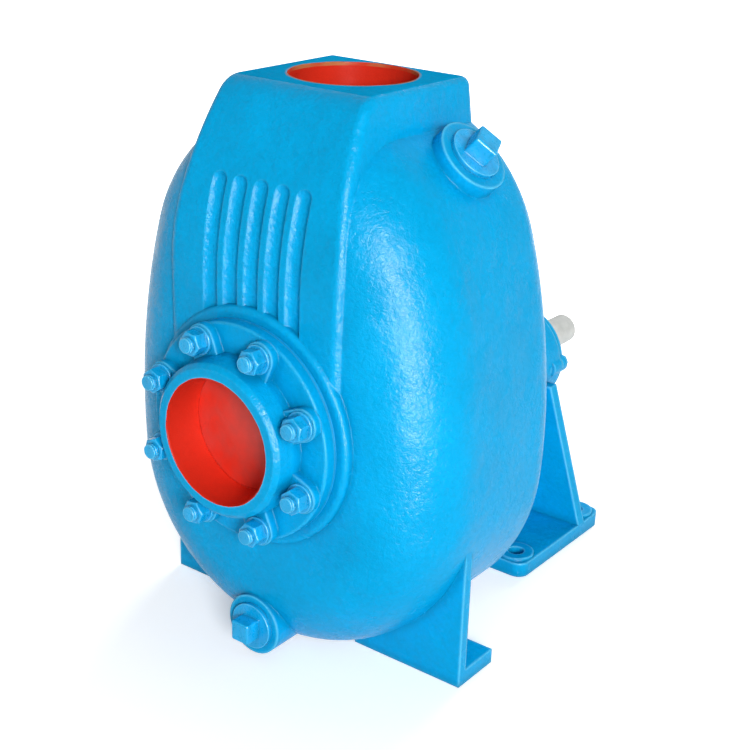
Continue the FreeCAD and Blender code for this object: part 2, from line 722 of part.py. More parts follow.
def behind_panel(label, tank_body, inset):
    """A tank shape with what would stand in front of the leaning panel taken off."""
    waste = new_body(label + "_waste")
    corners, _ = lean_waste(inset, pad_height - inset)
    pad(waste, path(sketch(waste, "YZ"), corners), 2 * (D.pad_half_width - inset), both_ways=True)
    return cut(label, tank_body, waste)


def panel_shape(label, inset, top_level, foot_level):
    """The block behind the front panel: its sides taper above a bend, and it leans back at its top."""
    body = new_body(label)
    taper = tangent(D.panel_taper_angle)
    half_top = D.pad_half_width - inset + (pad_height - top_level) * taper
    half_low = D.pad_half_width - inset + (pad_height - D.panel_taper_start) * taper
    reach = D.panel_side_radius * tangent(D.panel_taper_angle / 2)
    bend_top = (half_low - reach * sine(D.panel_taper_angle),
                D.panel_taper_start + reach * cosine(D.panel_taper_angle))
    bend_foot = D.panel_taper_start - reach
    outline = (
        (-half_low, foot_level),
        (half_low, foot_level),
        (half_low, bend_foot, D.panel_side_radius),
        bend_top,
        (half_top, top_level),
        (-half_top, top_level),
        (-bend_top[0], bend_top[1], D.panel_side_radius),
        (-half_low, bend_foot),
    )
    drawing = path(sketch(body, "XZ", panel_front + inset), outline)
    pad(body, drawing, D.pad_rear - panel_front - 2 * inset, towards_normal=False)
    corners, top_edge = lean_waste(inset, top_level)
    pocket_through(body, path(sketch(body, "YZ"), corners))
    return body, number(top_edge)


tank = tank_shape("tank", nothing, D.tank_front_round, D.tank_rear_round)

panel, panel_break = panel_shape("panel", nothing, pad_height, D.panel_foot)
high = number(pad_height)
low = number(D.panel_foot)
rear = number(D.pad_rear)
round_edges(panel, D.panel_top_round,
            lambda point, edge: abs(point.y - panel_break) < 0.01 and abs(point.z - high) < 0.01)
side = number(D.pad_half_width) - 1
round_edges(panel, D.panel_edge_round,
            lambda point, edge: point.z > low + 1 and (abs(point.x) > side or abs(point.y - rear) < 0.01)
            and (edge.BoundBox.ZLength > 0.01 or point.z > high - 1))


def flute(index):
    """One upright groove's cutter: a round section swept up the panel, with a round end."""
    body = new_body(f"flute_{index + 1}")
    offset = (index - (D.flute_count - 1) / 2) * D.flute_pitch
    out = D.flute_radius - D.flute_depth
    line = panel_front - out
    lean = D.panel_lean_radius + out
    centre = panel_front + D.panel_lean_radius
    end = (centre - lean * cosine(D.flute_angle), D.panel_lean_start + lean * sine(D.flute_angle))
    spine = sketch(body, "YZ", offset)
    path(spine, ((line, D.flute_foot), (line, D.panel_lean_start, -lean), end), closed=False)
    section = sketch(body, "XY", D.flute_foot)
    circle(section, (offset, line), D.flute_radius)
    sweep = body.newObject("PartDesign::AdditivePipe", body.Label + "_sweep")
    sweep.Profile = section
    sweep.Spine = (spine, [])
    ball = doc.addObject("Part::Sphere", f"flute_end_{index + 1}")
    bind(ball, "Radius", D.flute_radius)
    place(ball, (offset, end[0], end[1]))
    return [body, ball]


flutes = [piece for index in range(round(number(D.flute_count))) for piece in flute(index)]
front_block = fuse("front_block", [behind_panel("tank_behind_panel", tank, nothing), panel])
fluted_front = cut("fluted_front", front_block, fuse("flute_cutters", flutes))

pad_round_start = D.suction_pad_radius - D.suction_pad_round
suction_pad = turned("suction_pad", D.suction_height, (
    (pad_face, 0),
    (D.tank_front + D.casing_wall, 0),
    (D.tank_front + D.casing_wall, D.suction_pad_radius),
    (pad_face + D.suction_pad_round, D.suction_pad_radius, D.suction_pad_round),
    (pad_face, pad_round_start),
))
rear_pad = cylinder("rear_pad", D.rear_pad_radius, D.rear_pad_height + D.casing_wall,
                    (0, tank_rear - D.casing_wall, D.shaft_height), "rear")


def front_leg(side):
    """A cast web in front and the foot behind it."""
    web = new_body(f"front_leg_{'right' if side > 0 else 'left'}")
    outside = side * D.leg_half_width
    inside = side * D.leg_inner
    corners = ((inside, 0), (outside, 0), (outside, D.leg_top), (inside, D.leg_top))
    pad(web, path(sketch(web, "XZ", D.leg_front), corners), D.leg_thickness, towards_normal=False)
    foot_low = D.leg_half_width - D.front_foot_width if side > 0 else -D.leg_half_width
    foot = box(web.Label + "_foot", (foot_low, D.leg_front, 0),
               (D.front_foot_width, D.front_foot_depth, D.front_foot_thickness))
    hole = cylinder(web.Label + "_hole", D.foot_hole_radius, 3 * D.front_foot_thickness,
                    (side * (D.leg_half_width - D.front_foot_hole_inset),
                     D.leg_front + (D.front_foot_depth + D.leg_thickness) / 2,
                     -D.front_foot_thickness))
    return web, foot, hole


legs = [front_leg(side) for side in (1, -1)]

fill_base = (shoulder_centre[0], D.fill_place, shoulder_centre[1])
fill_seat = D.tank_shoulder_radius + D.fill_boss_height


def on_fill_axis(item):
    """Stand an item on the fill plug's leaning axis, which starts at the shoulder arc's centre."""
    item.Placement = Placement(Vector(), Rotation(Vector(0, -1, 0), 1))
    bind(item, "Placement.Rotation.Angle", D.fill_angle)
    for axis, size in zip("xyz", fill_base):
        bind(item, "Placement.Base." + axis, size)
    return item


def on_drain_axis(item):
    item.Placement = Placement(Vector(), Rotation(Vector(0, 0, 1), -90))
    for axis, size in zip("xyz", (0, D.drain_boss_front, D.drain_height)):
        bind(item, "Placement.Base." + axis, size)
    return item


def along_x(label, start, length, radius):
    """A cylinder along a body's own X axis, to be stood on a plug's axis."""
    body = new_body(label)
    pad(body, circle(sketch(body, "YZ", start), (0, 0), radius), length)
    return body


fill_boss = on_fill_axis(along_x("fill_boss", D.tank_shoulder_radius - D.casing_wall,
                                 D.fill_boss_height + D.casing_wall, D.fill_boss_radius))
fill_hole = on_fill_axis(along_x("fill_hole", D.tank_shoulder_radius - 3 * D.casing_wall,
                                 D.fill_boss_height + 4 * D.casing_wall,
                                 D.fill_thread_radius + D.running_clearance))
drain_boss = on_drain_axis(along_x("drain_boss", -D.drain_boss_depth, D.drain_boss_depth,
                                   D.drain_boss_radius))
drain_hole = on_drain_axis(along_x("drain_hole", -2 * D.drain_boss_depth, 3 * D.drain_boss_depth,
                                   D.drain_thread_radius + D.running_clearance))

outside = fuse("casing_outside", [fluted_front, suction_pad, rear_pad, fill_boss, drain_boss]
               + [piece for web, foot, hole in legs for piece in (web, foot)])


# The casing's inside: the discharge space round the suction chamber and the volute

tank_hollow = tank_shape("tank_hollow", D.casing_wall, D.tank_front_round - D.casing_wall,
                         D.tank_rear_round - D.casing_wall)
tank_inside = behind_panel("tank_inside", tank_hollow, D.casing_wall)
panel_inside, _ = panel_shape("panel_inside", D.casing_wall, pad_height - D.pad_thickness,
                              D.chamber_top)


def rounded_block(label, half_width, floor, roof, corner, start, length):
    """A block along the pump with four rounded corners."""
    body = new_body(label)
    corners = (
        (corner - half_width, floor),
        (half_width - corner, floor, corner),
        (half_width, floor + corner),
        (half_width, roof - corner, corner),
        (half_width - corner, roof),
        (corner - half_width, roof, corner),
        (-half_width, roof - corner),
        (-half_width, floor + corner, corner),
    )
    pad(body, path(sketch(body, "XZ", start), corners), length, towards_normal=False)
    return body


chamber_front = pad_face + D.suction_pad_depth
chamber_core = rounded_block("chamber_core", D.chamber_half_width + D.casing_wall,
                             D.chamber_floor - D.casing_wall, D.chamber_top + D.casing_wall,
                             D.chamber_corner + D.casing_wall, D.tank_front, partition_rear - D.tank_front)
chamber = rounded_block("chamber", D.chamber_half_width, D.chamber_floor, D.chamber_top,
                        D.chamber_corner, chamber_front, D.chamber_rear - chamber_front)
suction_boss = cylinder("suction_boss", D.suction_pad_radius, chamber_front - D.tank_front,
                        (0, D.tank_front, D.suction_height), "rear")


def volute_shape(label, wall, start, length):
    """A four-arc spiral that starts at its tongue and ends in an upright throat."""
    radius = D.volute_start_radius + wall
    step = D.volute_growth
    axis = D.shaft_height
    tongue_side = D.volute_start_radius - wall
    begin = leg_of(radius, tongue_side)
    outer = radius + 4 * step
    corners = (
        (tongue_side, axis + begin, radius),
        (nothing, axis + radius, radius + step),
        (-radius, axis - step, radius + 2 * step),
        (step, axis - step - radius - 2 * step, radius + 3 * step),
        (outer, axis),
        (outer, axis + D.volute_throat),
        (tongue_side, axis + D.volute_throat),
    )
    body = new_body(label)
    pad(body, path(sketch(body, "XZ", start), corners), length, towards_normal=False)
    return body


volute_core = volute_shape("volute_core", D.casing_wall, D.chamber_rear, tank_rear - D.chamber_rear)
volute = volute_shape("volute", D.tongue_relief, partition_rear, D.volute_rear - partition_rear)

hollow = cut("casing_hollow", fuse("discharge_space", [tank_inside, panel_inside]),
             fuse("inner_walls", [chamber_core, volute_core, suction_boss, drain_boss]))

stud_hole = cylinder("stud_hole", D.stud_radius + D.thread_clearance, D.stud_depth + D.washer_thickness,
                     (D.stud_circle_radius, pad_face, D.suction_height), "rear")
stud_holes = around("stud_holes", stud_hole, D.suction_height, D.stud_count, D.stud_first_angle)
rear_hole = cylinder("rear_hole", D.rear_bolt_radius + D.thread_clearance,
                     D.rear_bolt_grip + D.rear_bolt_radius,
                     (D.rear_bolt_circle, rear_pad_face, D.shaft_height), "front")
rear_holes = around("rear_holes", rear_hole, D.shaft_height, D.rear_bolt_count,
                    180 / D.rear_bolt_count)
wear_hole = cylinder("wear_hole", D.wear_screw_radius + D.thread_clearance,
                     D.wear_screw_length - D.wear_plate_thickness,
                     (D.wear_screw_circle, partition_rear, D.shaft_height), "front")
wear_holes = around("wear_holes", wear_hole, D.shaft_height, D.wear_screw_count, 0)
suction_opening = cylinder("suction_opening", D.suction_opening_radius, D.suction_pad_depth,
                           (0, pad_face, D.suction_height), "rear")
discharge_bore = cylinder("discharge_bore", D.port_radius, 2 * D.pad_thickness,
                          (0, D.discharge_place, pad_height - 1.5 * D.pad_thickness))
eye = cylinder("eye", D.eye_radius, D.casing_wall, (0, D.chamber_rear, D.shaft_height), "rear")
rear_opening = cylinder("rear_opening", D.rear_opening_radius, rear_pad_face - D.volute_rear,
                        (0, D.volute_rear, D.shaft_height), "rear")

voids = fuse("casing_voids", [hollow, chamber, volute, suction_opening, discharge_bore, eye, rear_opening,
                              fill_hole, drain_hole, stud_holes, rear_holes, wear_holes]
             + [hole for web, foot, hole in legs])
pump_casing = cut("pump_casing", outside, voids)


# The suction flange with its bosses and the ears of the flap's hinge

suction_flange = new_body("suction_flange")
turn(suction_flange, D.suction_height, (
    (flange_back, D.port_radius),
    (flange_back, D.flange_radius),
    (flange_front + D.flange_edge_round, D.flange_radius, D.flange_edge_round),
    (flange_front, D.flange_radius - D.flange_edge_round),
    (flange_front, D.hub_radius),
    (boss_face, D.hub_radius),
    (mouth + D.neck_edge, D.neck_radius + D.neck_edge),
    (mouth, D.neck_radius),
    (mouth, D.port_radius),
))
boss_centre = D.stud_circle_radius
boss_sketch = sketch(suction_flange, "XZ", flange_front, (0, D.suction_height), D.stud_first_angle)
boss_root = (D.hub_radius + D.port_radius) / 2
path(boss_sketch, (
    (boss_root, -D.stud_boss_radius),
    (boss_centre, -D.stud_boss_radius, D.stud_boss_radius),
    (boss_centre + D.stud_boss_radius, 0, D.stud_boss_radius),
    (boss_centre, D.stud_boss_radius),
    (boss_root, D.stud_boss_radius),
))
boss_pad = pad(suction_flange, boss_sketch, D.stud_boss_height)
clear_sketch = sketch(suction_flange, "XZ", flange_front, (0, D.suction_height), D.stud_first_angle)
circle(clear_sketch, (boss_centre, 0), D.stud_radius + D.hole_clearance)
clear_hole = pocket_through(suction_flange, clear_sketch)
repeat_round(suction_flange, [boss_pad, clear_hole], boss_sketch, D.stud_count)
for side in (1, -1):
    middle = side * (D.hinge_ear_gap + D.hinge_ear_thickness) / 2
    ear = sketch(suction_flange, "YZ", middle)
    path(ear, (
        (flange_back - D.flange_thickness / 2, hinge_height - D.hinge_ear_radius),
        (hinge_place, hinge_height - D.hinge_ear_radius, D.hinge_ear_radius),
        (hinge_place + D.hinge_ear_radius, hinge_height, D.hinge_ear_radius),
        (hinge_place, hinge_height + D.hinge_ear_radius),
        (flange_back - D.flange_thickness / 2, hinge_height + D.hinge_ear_radius),
    ))
    pad(suction_flange, ear, D.hinge_ear_thickness, both_ways=True)
pin_sketch = sketch(suction_flange, "YZ", 0)
circle(pin_sketch, (hinge_place, hinge_height), D.hinge_pin_radius)
pin_hole = pocket(suction_flange, pin_sketch, D.hinge_ear_gap + 2 * D.hinge_ear_thickness)
pin_hole.SideType = "Symmetric"

suction_gasket = ring("suction_gasket", D.suction_height, flange_back, D.gasket_thickness,
                      D.suction_opening_radius, D.flange_radius)
drill_round(suction_gasket, flange_back, D.suction_height, D.stud_circle_radius, D.stud_first_angle,
            D.stud_count, D.stud_radius + D.hole_clearance)

stud_length = pad_face + D.stud_depth - nut_face + D.stud_beyond_nut
one_stud = cylinder("one_stud", D.stud_radius, stud_length,
                    (D.stud_circle_radius, nut_face - D.stud_beyond_nut, D.suction_height), "rear")
one_washer = cut("one_washer",
                 cylinder("washer_disc", D.washer_radius, D.washer_thickness,
                          (D.stud_circle_radius, washer_face, D.suction_height), "rear"),
                 cylinder("washer_hole", D.stud_radius + D.hole_clearance, D.washer_thickness,
                          (D.stud_circle_radius, washer_face, D.suction_height), "rear"))
one_nut = cut("one_nut",
              hexagon("nut_body", D.nut_flats, D.nut_height,
                      (D.stud_circle_radius, washer_face, D.suction_height), "front"),
              cylinder("nut_hole", D.stud_radius + D.thread_clearance, D.nut_height,
                       (D.stud_circle_radius, washer_face, D.suction_height), "front"))
flange_studs = around("flange_studs", one_stud, D.suction_height, D.stud_count, D.stud_first_angle)
flange_washers = around("flange_washers", one_washer, D.suction_height, D.stud_count, D.stud_first_angle)
flange_nuts = around("flange_nuts", one_nut, D.suction_height, D.stud_count, D.stud_first_angle)


# The check valve behind the suction flange

flap_front = flange_back + D.seat_gap
flap_rear = flap_front + D.flap_thickness
plate_rear = flap_rear + D.flap_plate_thickness
arm_rear = plate_rear + D.arm_thickness
flap_hole = D.flap_bolt_radius + D.running_clearance
valve_disc = turned("valve_disc", D.suction_height, (
    (flap_front, 0),
    (flap_rear, 0),
    (flap_rear, D.flap_radius),
    (flap_front, D.flap_radius),
))
valve_backing_plate = ring("valve_backing_plate", D.suction_height, flap_rear, D.flap_plate_thickness,
                           flap_hole, D.flap_plate_radius)
valve_arm = new_body("valve_arm")
arm_side = (
    (plate_rear, D.suction_height - D.arm_width / 2),
    (arm_rear, D.suction_height - D.arm_width / 2),
    (arm_rear, hinge_height - D.hinge_ear_radius),
    (hinge_place + D.hinge_ear_radius, hinge_height, D.hinge_ear_radius),
    (hinge_place, hinge_height + D.hinge_ear_radius, D.hinge_ear_radius),
    (hinge_place - D.hinge_ear_radius, hinge_height, D.hinge_ear_radius),
    (hinge_place, hinge_height - D.hinge_ear_radius),
    (plate_rear, D.suction_height + D.flap_plate_radius),
)
pad(valve_arm, path(sketch(valve_arm, "YZ"), arm_side), D.arm_width, both_ways=True)
pocket_through(valve_arm, circle(sketch(valve_arm, "YZ"), (hinge_place, hinge_height),
                                 D.hinge_pin_radius + D.running_clearance))
pocket_through(valve_arm, circle(sketch(valve_arm, "XZ"), (0, D.suction_height), flap_hole))
valve_hinge_pin = new_body("valve_hinge_pin")
pad(valve_hinge_pin, circle(sketch(valve_hinge_pin, "YZ"), (hinge_place, hinge_height), D.hinge_pin_radius),
    D.hinge_ear_gap + 2 * D.hinge_ear_thickness, both_ways=True)
valve_bolt = bolt("valve_bolt", D.flap_bolt_flats, D.flap_bolt_head, D.flap_bolt_radius,
                  D.arm_thickness + D.flap_plate_thickness - D.seat_gap,
                  (0, arm_rear, D.suction_height), "rear")


# The wear plate and the impeller

wear_plate = new_body("wear_plate")
turn(wear_plate, D.shaft_height, (
    (partition_rear - D.wear_spigot, D.wear_eye_radius),
    (wear_face, D.wear_eye_radius),
    (wear_face, D.wear_plate_radius),
    (partition_rear, D.wear_plate_radius),
    (partition_rear, D.eye_radius - D.spigot_clearance),
    (partition_rear - D.wear_spigot, D.eye_radius - D.spigot_clearance),
))
wear_sketch = sketch(wear_plate, "YZ", 0, (0, D.shaft_height))
sink = D.hole_clearance
path(wear_sketch, (
    (partition_rear, D.wear_screw_circle),
    (wear_face, D.wear_screw_circle),
    (wear_face, D.wear_screw_circle + D.wear_head_radius + sink),
    (wear_face - D.wear_head_height, D.wear_screw_circle + D.wear_screw_radius + sink),
    (partition_rear, D.wear_screw_circle + D.wear_screw_radius + sink),
))
screw_line = wear_sketch.addGeometry(Part.LineSegment(Vector(0, number(D.wear_screw_circle), 0),
                                                      Vector(number(D.wear_plate_thickness),
                                                             number(D.wear_screw_circle), 0)), True)
for end, across in ((1, 0), (2, D.wear_plate_thickness)):
    pin_point(wear_sketch, screw_line, end, (across, D.wear_screw_circle))
wear_sink = wear_plate.newObject("PartDesign::Groove", "wear_plate_sink")
wear_sink.Profile = wear_sketch
wear_sink.ReferenceAxis = (wear_sketch, ["Axis0"])
wear_sink.Angle = 360
turn_sketch = sketch(wear_plate, "XZ", wear_face, (0, D.shaft_height))
circle(turn_sketch, (0, 0), D.wear_eye_radius)
wear_pattern = wear_plate.newObject("PartDesign::PolarPattern", "wear_plate_pattern")
wear_pattern.Originals = [wear_sink]
wear_pattern.Axis = (turn_sketch, ["N_Axis"])
wear_pattern.Angle = 360
bind(wear_pattern, "Occurrences", D.wear_screw_count)
wear_plate.Tip = wear_pattern
screw_head = doc.addObject("Part::Cone", "screw_head")
bind(screw_head, "Radius1", D.wear_head_radius)
bind(screw_head, "Radius2", D.wear_screw_radius)
bind(screw_head, "Height", D.wear_head_height)
place(screw_head, (0, wear_face, D.shaft_height + D.wear_screw_circle), "front")
screw_shank = cylinder("screw_shank", D.wear_screw_radius, D.wear_screw_length,
                       (0, wear_face, D.shaft_height + D.wear_screw_circle), "front")
one_screw = fuse("one_screw", [screw_head, screw_shank])
wear_plate_screws = around("wear_plate_screws", one_screw, D.shaft_height, D.wear_screw_count, 0)

impeller = new_body("impeller")
shroud_rear = shroud_front + D.shroud_thickness
turn(impeller, D.shaft_height, (
    (D.impeller_hub_front, D.impeller_seat_radius + D.running_clearance),
    (D.impeller_hub_front, D.impeller_hub_radius - D.shroud_thickness / 4),
    (shroud_front, D.impeller_hub_radius),
    (shroud_front, D.impeller_radius),
    (shroud_rear, D.impeller_radius),
    (shroud_rear, D.impeller_hub_radius),
    (D.impeller_hub_rear, D.impeller_hub_radius),
    (D.impeller_hub_rear, D.impeller_seat_radius + D.running_clearance),
))


def polar(radius, angle):
    return (radius * cosine(angle), radius * sine(angle))


vane_sketch = sketch(impeller, "XZ", shroud_front, (0, D.shaft_height))
vane_inner = D.impeller_hub_radius - D.shroud_thickness / 2
vane_outer = D.impeller_radius
root_front, root_back = polar(vane_inner, D.vane_root_angle), polar(vane_inner, D.vane_back_angle)
tip_front, tip_back = polar(vane_outer, D.vane_tip_angle), polar(vane_outer, D.vane_end_angle)
path(vane_sketch, (
    (root_back[0], root_back[1], -D.vane_back_bend),
    (tip_back[0], tip_back[1], vane_outer),
    (tip_front[0], tip_front[1], D.vane_front_bend),
    root_front,
))
vane_pad = pad(impeller, vane_sketch, D.vane_height)
repeat_round(impeller, [vane_pad], vane_sketch, D.vane_count)
key_low = D.shaft_height + D.impeller_seat_radius - D.impeller_key_height / 2
key_slot = sketch(impeller, "XZ", D.impeller_hub_front)
key_half = D.impeller_key_width / 2
key_room = D.impeller_key_height + D.running_clearance
path(key_slot, (
    (-key_half, D.shaft_height),
    (key_half, D.shaft_height),
    (key_half, key_low + key_room),
    (-key_half, key_low + key_room),
))
pocket(impeller, key_slot, D.impeller_hub_rear - D.impeller_hub_front, towards_normal=False)

impeller_key = box("impeller_key", (-key_half, shaft_front + D.impeller_key_inset, key_low),
                   (D.impeller_key_width, D.impeller_key_length, D.impeller_key_height))
impeller_washer = ring("impeller_washer", D.shaft_height,
                       D.impeller_hub_front - D.impeller_washer_thickness, D.impeller_washer_thickness,
                       D.impeller_bolt_radius + D.hole_clearance, D.impeller_washer_radius)
bolt_seat = D.impeller_hub_front - D.impeller_washer_thickness
impeller_bolt = bolt("impeller_bolt", D.impeller_bolt_flats, D.impeller_bolt_head, D.impeller_bolt_radius,
                     D.impeller_bolt_length, (0, bolt_seat, D.shaft_height), "front")


# The shaft with its keys and sleeve

groove_radius = D.bearing_seat_radius - D.snap_groove_depth
shaft_turned = turned("shaft_turned", D.shaft_height, (
    (shaft_front, 0),
    (shaft_front, D.impeller_seat_radius),
    (D.impeller_hub_rear, D.impeller_seat_radius),
    (D.impeller_hub_rear, D.sleeve_seat_radius),
    (sleeve_end, D.sleeve_seat_radius),
    (sleeve_end, D.bearing_seat_radius),
    (inboard_end, D.bearing_seat_radius),
    (inboard_end, D.shaft_shoulder_radius),
    (D.outboard_place, D.shaft_shoulder_radius),
    (D.outboard_place, D.bearing_seat_radius),
    (outboard_end, D.bearing_seat_radius),
    (outboard_end, groove_radius),
    (snap_end, groove_radius),
    (snap_end, D.bearing_seat_radius),
    (snap_end + D.snap_ring_thickness, D.bearing_seat_radius),
    (snap_end + D.snap_ring_thickness, D.shaft_seal_radius),
    (D.shaft_seal_end, D.shaft_seal_radius),
    (D.shaft_seal_end, D.shaft_end_radius),
    (D.shaft_end - D.shaft_chamfer, D.shaft_end_radius),
    (D.shaft_end, D.shaft_end_radius - D.shaft_chamfer),
    (D.shaft_end, 0),
))
coupling_key_start = D.shaft_end - D.coupling_key_inset - D.coupling_key_length
coupling_key_low = (-D.shaft_end_radius - D.coupling_key_height / 2, coupling_key_start,
                    D.shaft_height - D.coupling_key_width / 2)
coupling_key_size = (D.coupling_key_height, D.coupling_key_length, D.coupling_key_width)
key_seats = fuse("key_seats", [
    box("impeller_key_seat", (-key_half, shaft_front + D.impeller_key_inset, key_low),
        (D.impeller_key_width, D.impeller_key_length, D.impeller_key_height)),
    box("coupling_key_seat", coupling_key_low, coupling_key_size),
    cylinder("bolt_hole", D.impeller_bolt_radius + D.thread_clearance,
             D.impeller_bolt_length, (0, shaft_front, D.shaft_height), "rear"),
])
shaft = cut("shaft", shaft_turned, key_seats)
shaft_sleeve = ring("shaft_sleeve", D.shaft_height, D.impeller_hub_rear, D.sleeve_length,
                    D.sleeve_seat_radius, D.sleeve_radius)


# The shaft seal

seat_rear = D.seal_chamber_rear + D.seal_pocket_depth
seat_back = seat_rear - (D.seal_pocket_depth - D.seat_ring_thickness)
seat_front = seat_back - D.seat_ring_thickness
face_rear = seat_front - D.face_gap
face_front = face_rear - D.face_ring_thickness
bellows_front = face_front - D.bellows_length
seal_seat = ring("seal_seat", D.shaft_height, seat_front, D.seat_ring_thickness, D.seat_ring_bore,
                 D.seat_ring_radius)
seal_seat_cup = turned("seal_seat_cup", D.shaft_height, (
    (seat_front, D.seat_ring_radius),
    (seat_back, D.seat_ring_radius),
    (seat_back, D.seal_shaft_hole_radius),
    (seat_rear, D.seal_shaft_hole_radius),
    (seat_rear, D.seal_pocket_radius),
    (seat_front, D.seal_pocket_radius),
))
seal_face = ring("seal_face", D.shaft_height, face_front, D.face_ring_thickness,
                 D.sleeve_radius + D.running_clearance, D.face_ring_radius)
seal_bellows = ring("seal_bellows", D.shaft_height, bellows_front, D.bellows_length, D.sleeve_radius,
                    D.sleeve_radius + D.bellows_wall)
seal_retainer = ring("seal_retainer", D.shaft_height, bellows_front - D.retainer_thickness,
                     D.retainer_thickness, D.sleeve_radius, D.retainer_radius)


def spring_turns():
    """The seal's close-wound spring, as plain rings of wire between its retainer and the face."""
    doc.recompute()
    pitch = number(D.bellows_length) / number(D.spring_turns)
    one = doc.addObject("Part::Torus", "spring_turn")
    bind(one, "Radius1", D.spring_radius)
    bind(one, "Radius2", D.bellows_length / D.spring_turns / 2 - D.running_clearance)
    place(one, (0, bellows_front, D.shaft_height), "front")
    doc.recompute()
    turns = []
    for index in range(round(number(D.spring_turns))):
        copy = one.Shape.copy()
        copy.translate(Vector(0, (index + 0.5) * pitch, 0))
        turns.append(copy)
    item = doc.addObject("Part::Feature", "seal_spring")
    item.Shape = Part.makeCompound(turns)
    return item


seal_spring = spring_turns()

seal_plate = new_body("seal_plate")
turn(seal_plate, D.shaft_height, (
    (D.volute_rear, D.seal_chamber_radius),
    (D.volute_rear, D.rear_opening_radius - D.spigot_clearance),
    (seal_rim_front, D.rear_opening_radius - D.spigot_clearance),
    (seal_rim_front, D.rear_pad_radius),
    (seal_rim_rear, D.rear_pad_radius),
    (seal_rim_rear, D.lantern_bore_radius),
    (D.volute_rear + D.seal_plate_wall, D.lantern_bore_radius),
    (D.volute_rear + D.seal_plate_wall, D.seal_hub_radius),
    (D.seal_hub_rear, D.seal_hub_radius),
    (D.seal_hub_rear, D.seal_shaft_hole_radius),
    (seat_rear, D.seal_shaft_hole_radius),
    (seat_rear, D.seal_pocket_radius),
    (D.seal_chamber_rear, D.seal_pocket_radius),
    (D.seal_chamber_rear, D.seal_chamber_radius),
))
drill_round(seal_plate, seal_rim_rear, D.shaft_height, D.rear_bolt_circle, 180 / D.rear_bolt_count,
            D.rear_bolt_count, D.rear_bolt_radius + D.hole_clearance)
seal_plate_ring = ring("seal_plate_ring", D.shaft_height, rear_pad_face, D.ring_thickness,
                       D.rear_opening_radius, D.rear_pad_radius)
drill_round(seal_plate_ring, rear_pad_face, D.shaft_height, D.rear_bolt_circle, 180 / D.rear_bolt_count,
            D.rear_bolt_count, D.rear_bolt_radius + D.hole_clearance)
rear_bolt_length = frame_face - rear_pad_face + D.rear_bolt_grip
one_rear_bolt = bolt("one_rear_bolt", D.rear_bolt_flats, D.rear_bolt_head, D.rear_bolt_radius,
                     rear_bolt_length, (D.rear_bolt_circle, frame_face, D.shaft_height), "rear")
frame_bolts = around("frame_bolts", one_rear_bolt, D.shaft_height, D.rear_bolt_count,
                     180 / D.rear_bolt_count)


# The bearing frame: flange, lantern, bearing tube, foot and webs in one casting

tube_bore_front = D.inboard_place
seal_bore_front = D.inboard_place - D.lip_seal_width
frame_front_hole = D.frame_seal_radius - D.lip_wall
bearing_frame = new_body("bearing_frame")
turn(bearing_frame, D.shaft_height, (
    (seal_rim_rear, D.lantern_bore_radius),
    (seal_rim_rear, D.rear_pad_radius),
    (frame_face, D.rear_pad_radius),
    (frame_face, D.lantern_flange_radius),
    (D.lantern_end, D.frame_tube_radius),
    (D.frame_tube_end, D.frame_tube_radius),
    (D.frame_tube_end, D.bearing_radius),
    (tube_bore_front, D.bearing_radius),
    (tube_bore_front, D.frame_seal_radius),
    (seal_bore_front, D.frame_seal_radius),
    (seal_bore_front, frame_front_hole),
    (seal_bore_front - D.lip_wall, frame_front_hole),
    (seal_bore_front - D.lip_wall, D.frame_tube_radius - D.lantern_wall),
    (frame_face, D.lantern_flange_radius - D.lantern_wall),
    (frame_face, D.lantern_bore_radius),
))
window = (
    (D.window_start, D.shaft_height - D.window_half_height),
    (D.window_start + D.window_length, D.shaft_height - D.window_half_height),
    (D.window_start + D.window_length, D.shaft_height + D.window_half_height),
    (D.window_start, D.shaft_height + D.window_half_height),
)
pocket_through(bearing_frame, path(sketch(bearing_frame, "YZ"), window))
drill_round(bearing_frame, frame_face, D.shaft_height, D.rear_bolt_circle, 180 / D.rear_bolt_count,
            D.rear_bolt_count, D.rear_bolt_radius + D.hole_clearance)
foot_rear = D.rear_foot_front + D.rear_foot_length
corner = D.rear_foot_corner
half = D.rear_foot_half_width
foot_outline = (
    (corner - half, D.rear_foot_front),
    (half - corner, D.rear_foot_front, corner),
    (half, D.rear_foot_front + corner),
    (half, foot_rear - corner, corner),
    (half - corner, foot_rear),
    (corner - half, foot_rear, corner),
    (-half, foot_rear - corner),
    (-half, D.rear_foot_front + corner, corner),
)
rear_foot = new_body("rear_foot")
pad(rear_foot, path(sketch(rear_foot, "XY"), foot_outline), D.rear_foot_thickness)
hole_across = D.rear_foot_half_width - D.rear_hole_inset
hole_places = (D.rear_foot_front + D.rear_hole_inset, foot_rear - D.rear_hole_inset)
corners_of_foot = [(side * hole_across, along) for side in (1, -1) for along in hole_places]
foot_bosses = [cylinder(f"foot_boss_{index + 1}", D.rear_boss_radius,
                        D.rear_foot_thickness + D.rear_boss_height, (across, along, 0))
               for index, (across, along) in enumerate(corners_of_foot)]
foot_holes = [cylinder(f"foot_hole_{index + 1}", D.foot_hole_radius, 3 * D.rear_foot_thickness,
                       (across, along, -D.rear_foot_thickness))
              for index, (across, along) in enumerate(corners_of_foot)]
web_outline = (
    (-D.rear_foot_half_width, 0),
    (D.rear_foot_half_width, 0),
    (D.rear_foot_half_width, D.rear_foot_thickness),
    (D.rear_web_top, D.shaft_height - D.rear_web_thickness),
    (-D.rear_web_top, D.shaft_height - D.rear_web_thickness),
    (-D.rear_foot_half_width, D.rear_foot_thickness),
)
cross_web = new_body("cross_web")
pad(cross_web, path(sketch(cross_web, "XZ", D.rear_web_place), web_outline), D.rear_web_thickness,
    towards_normal=False)
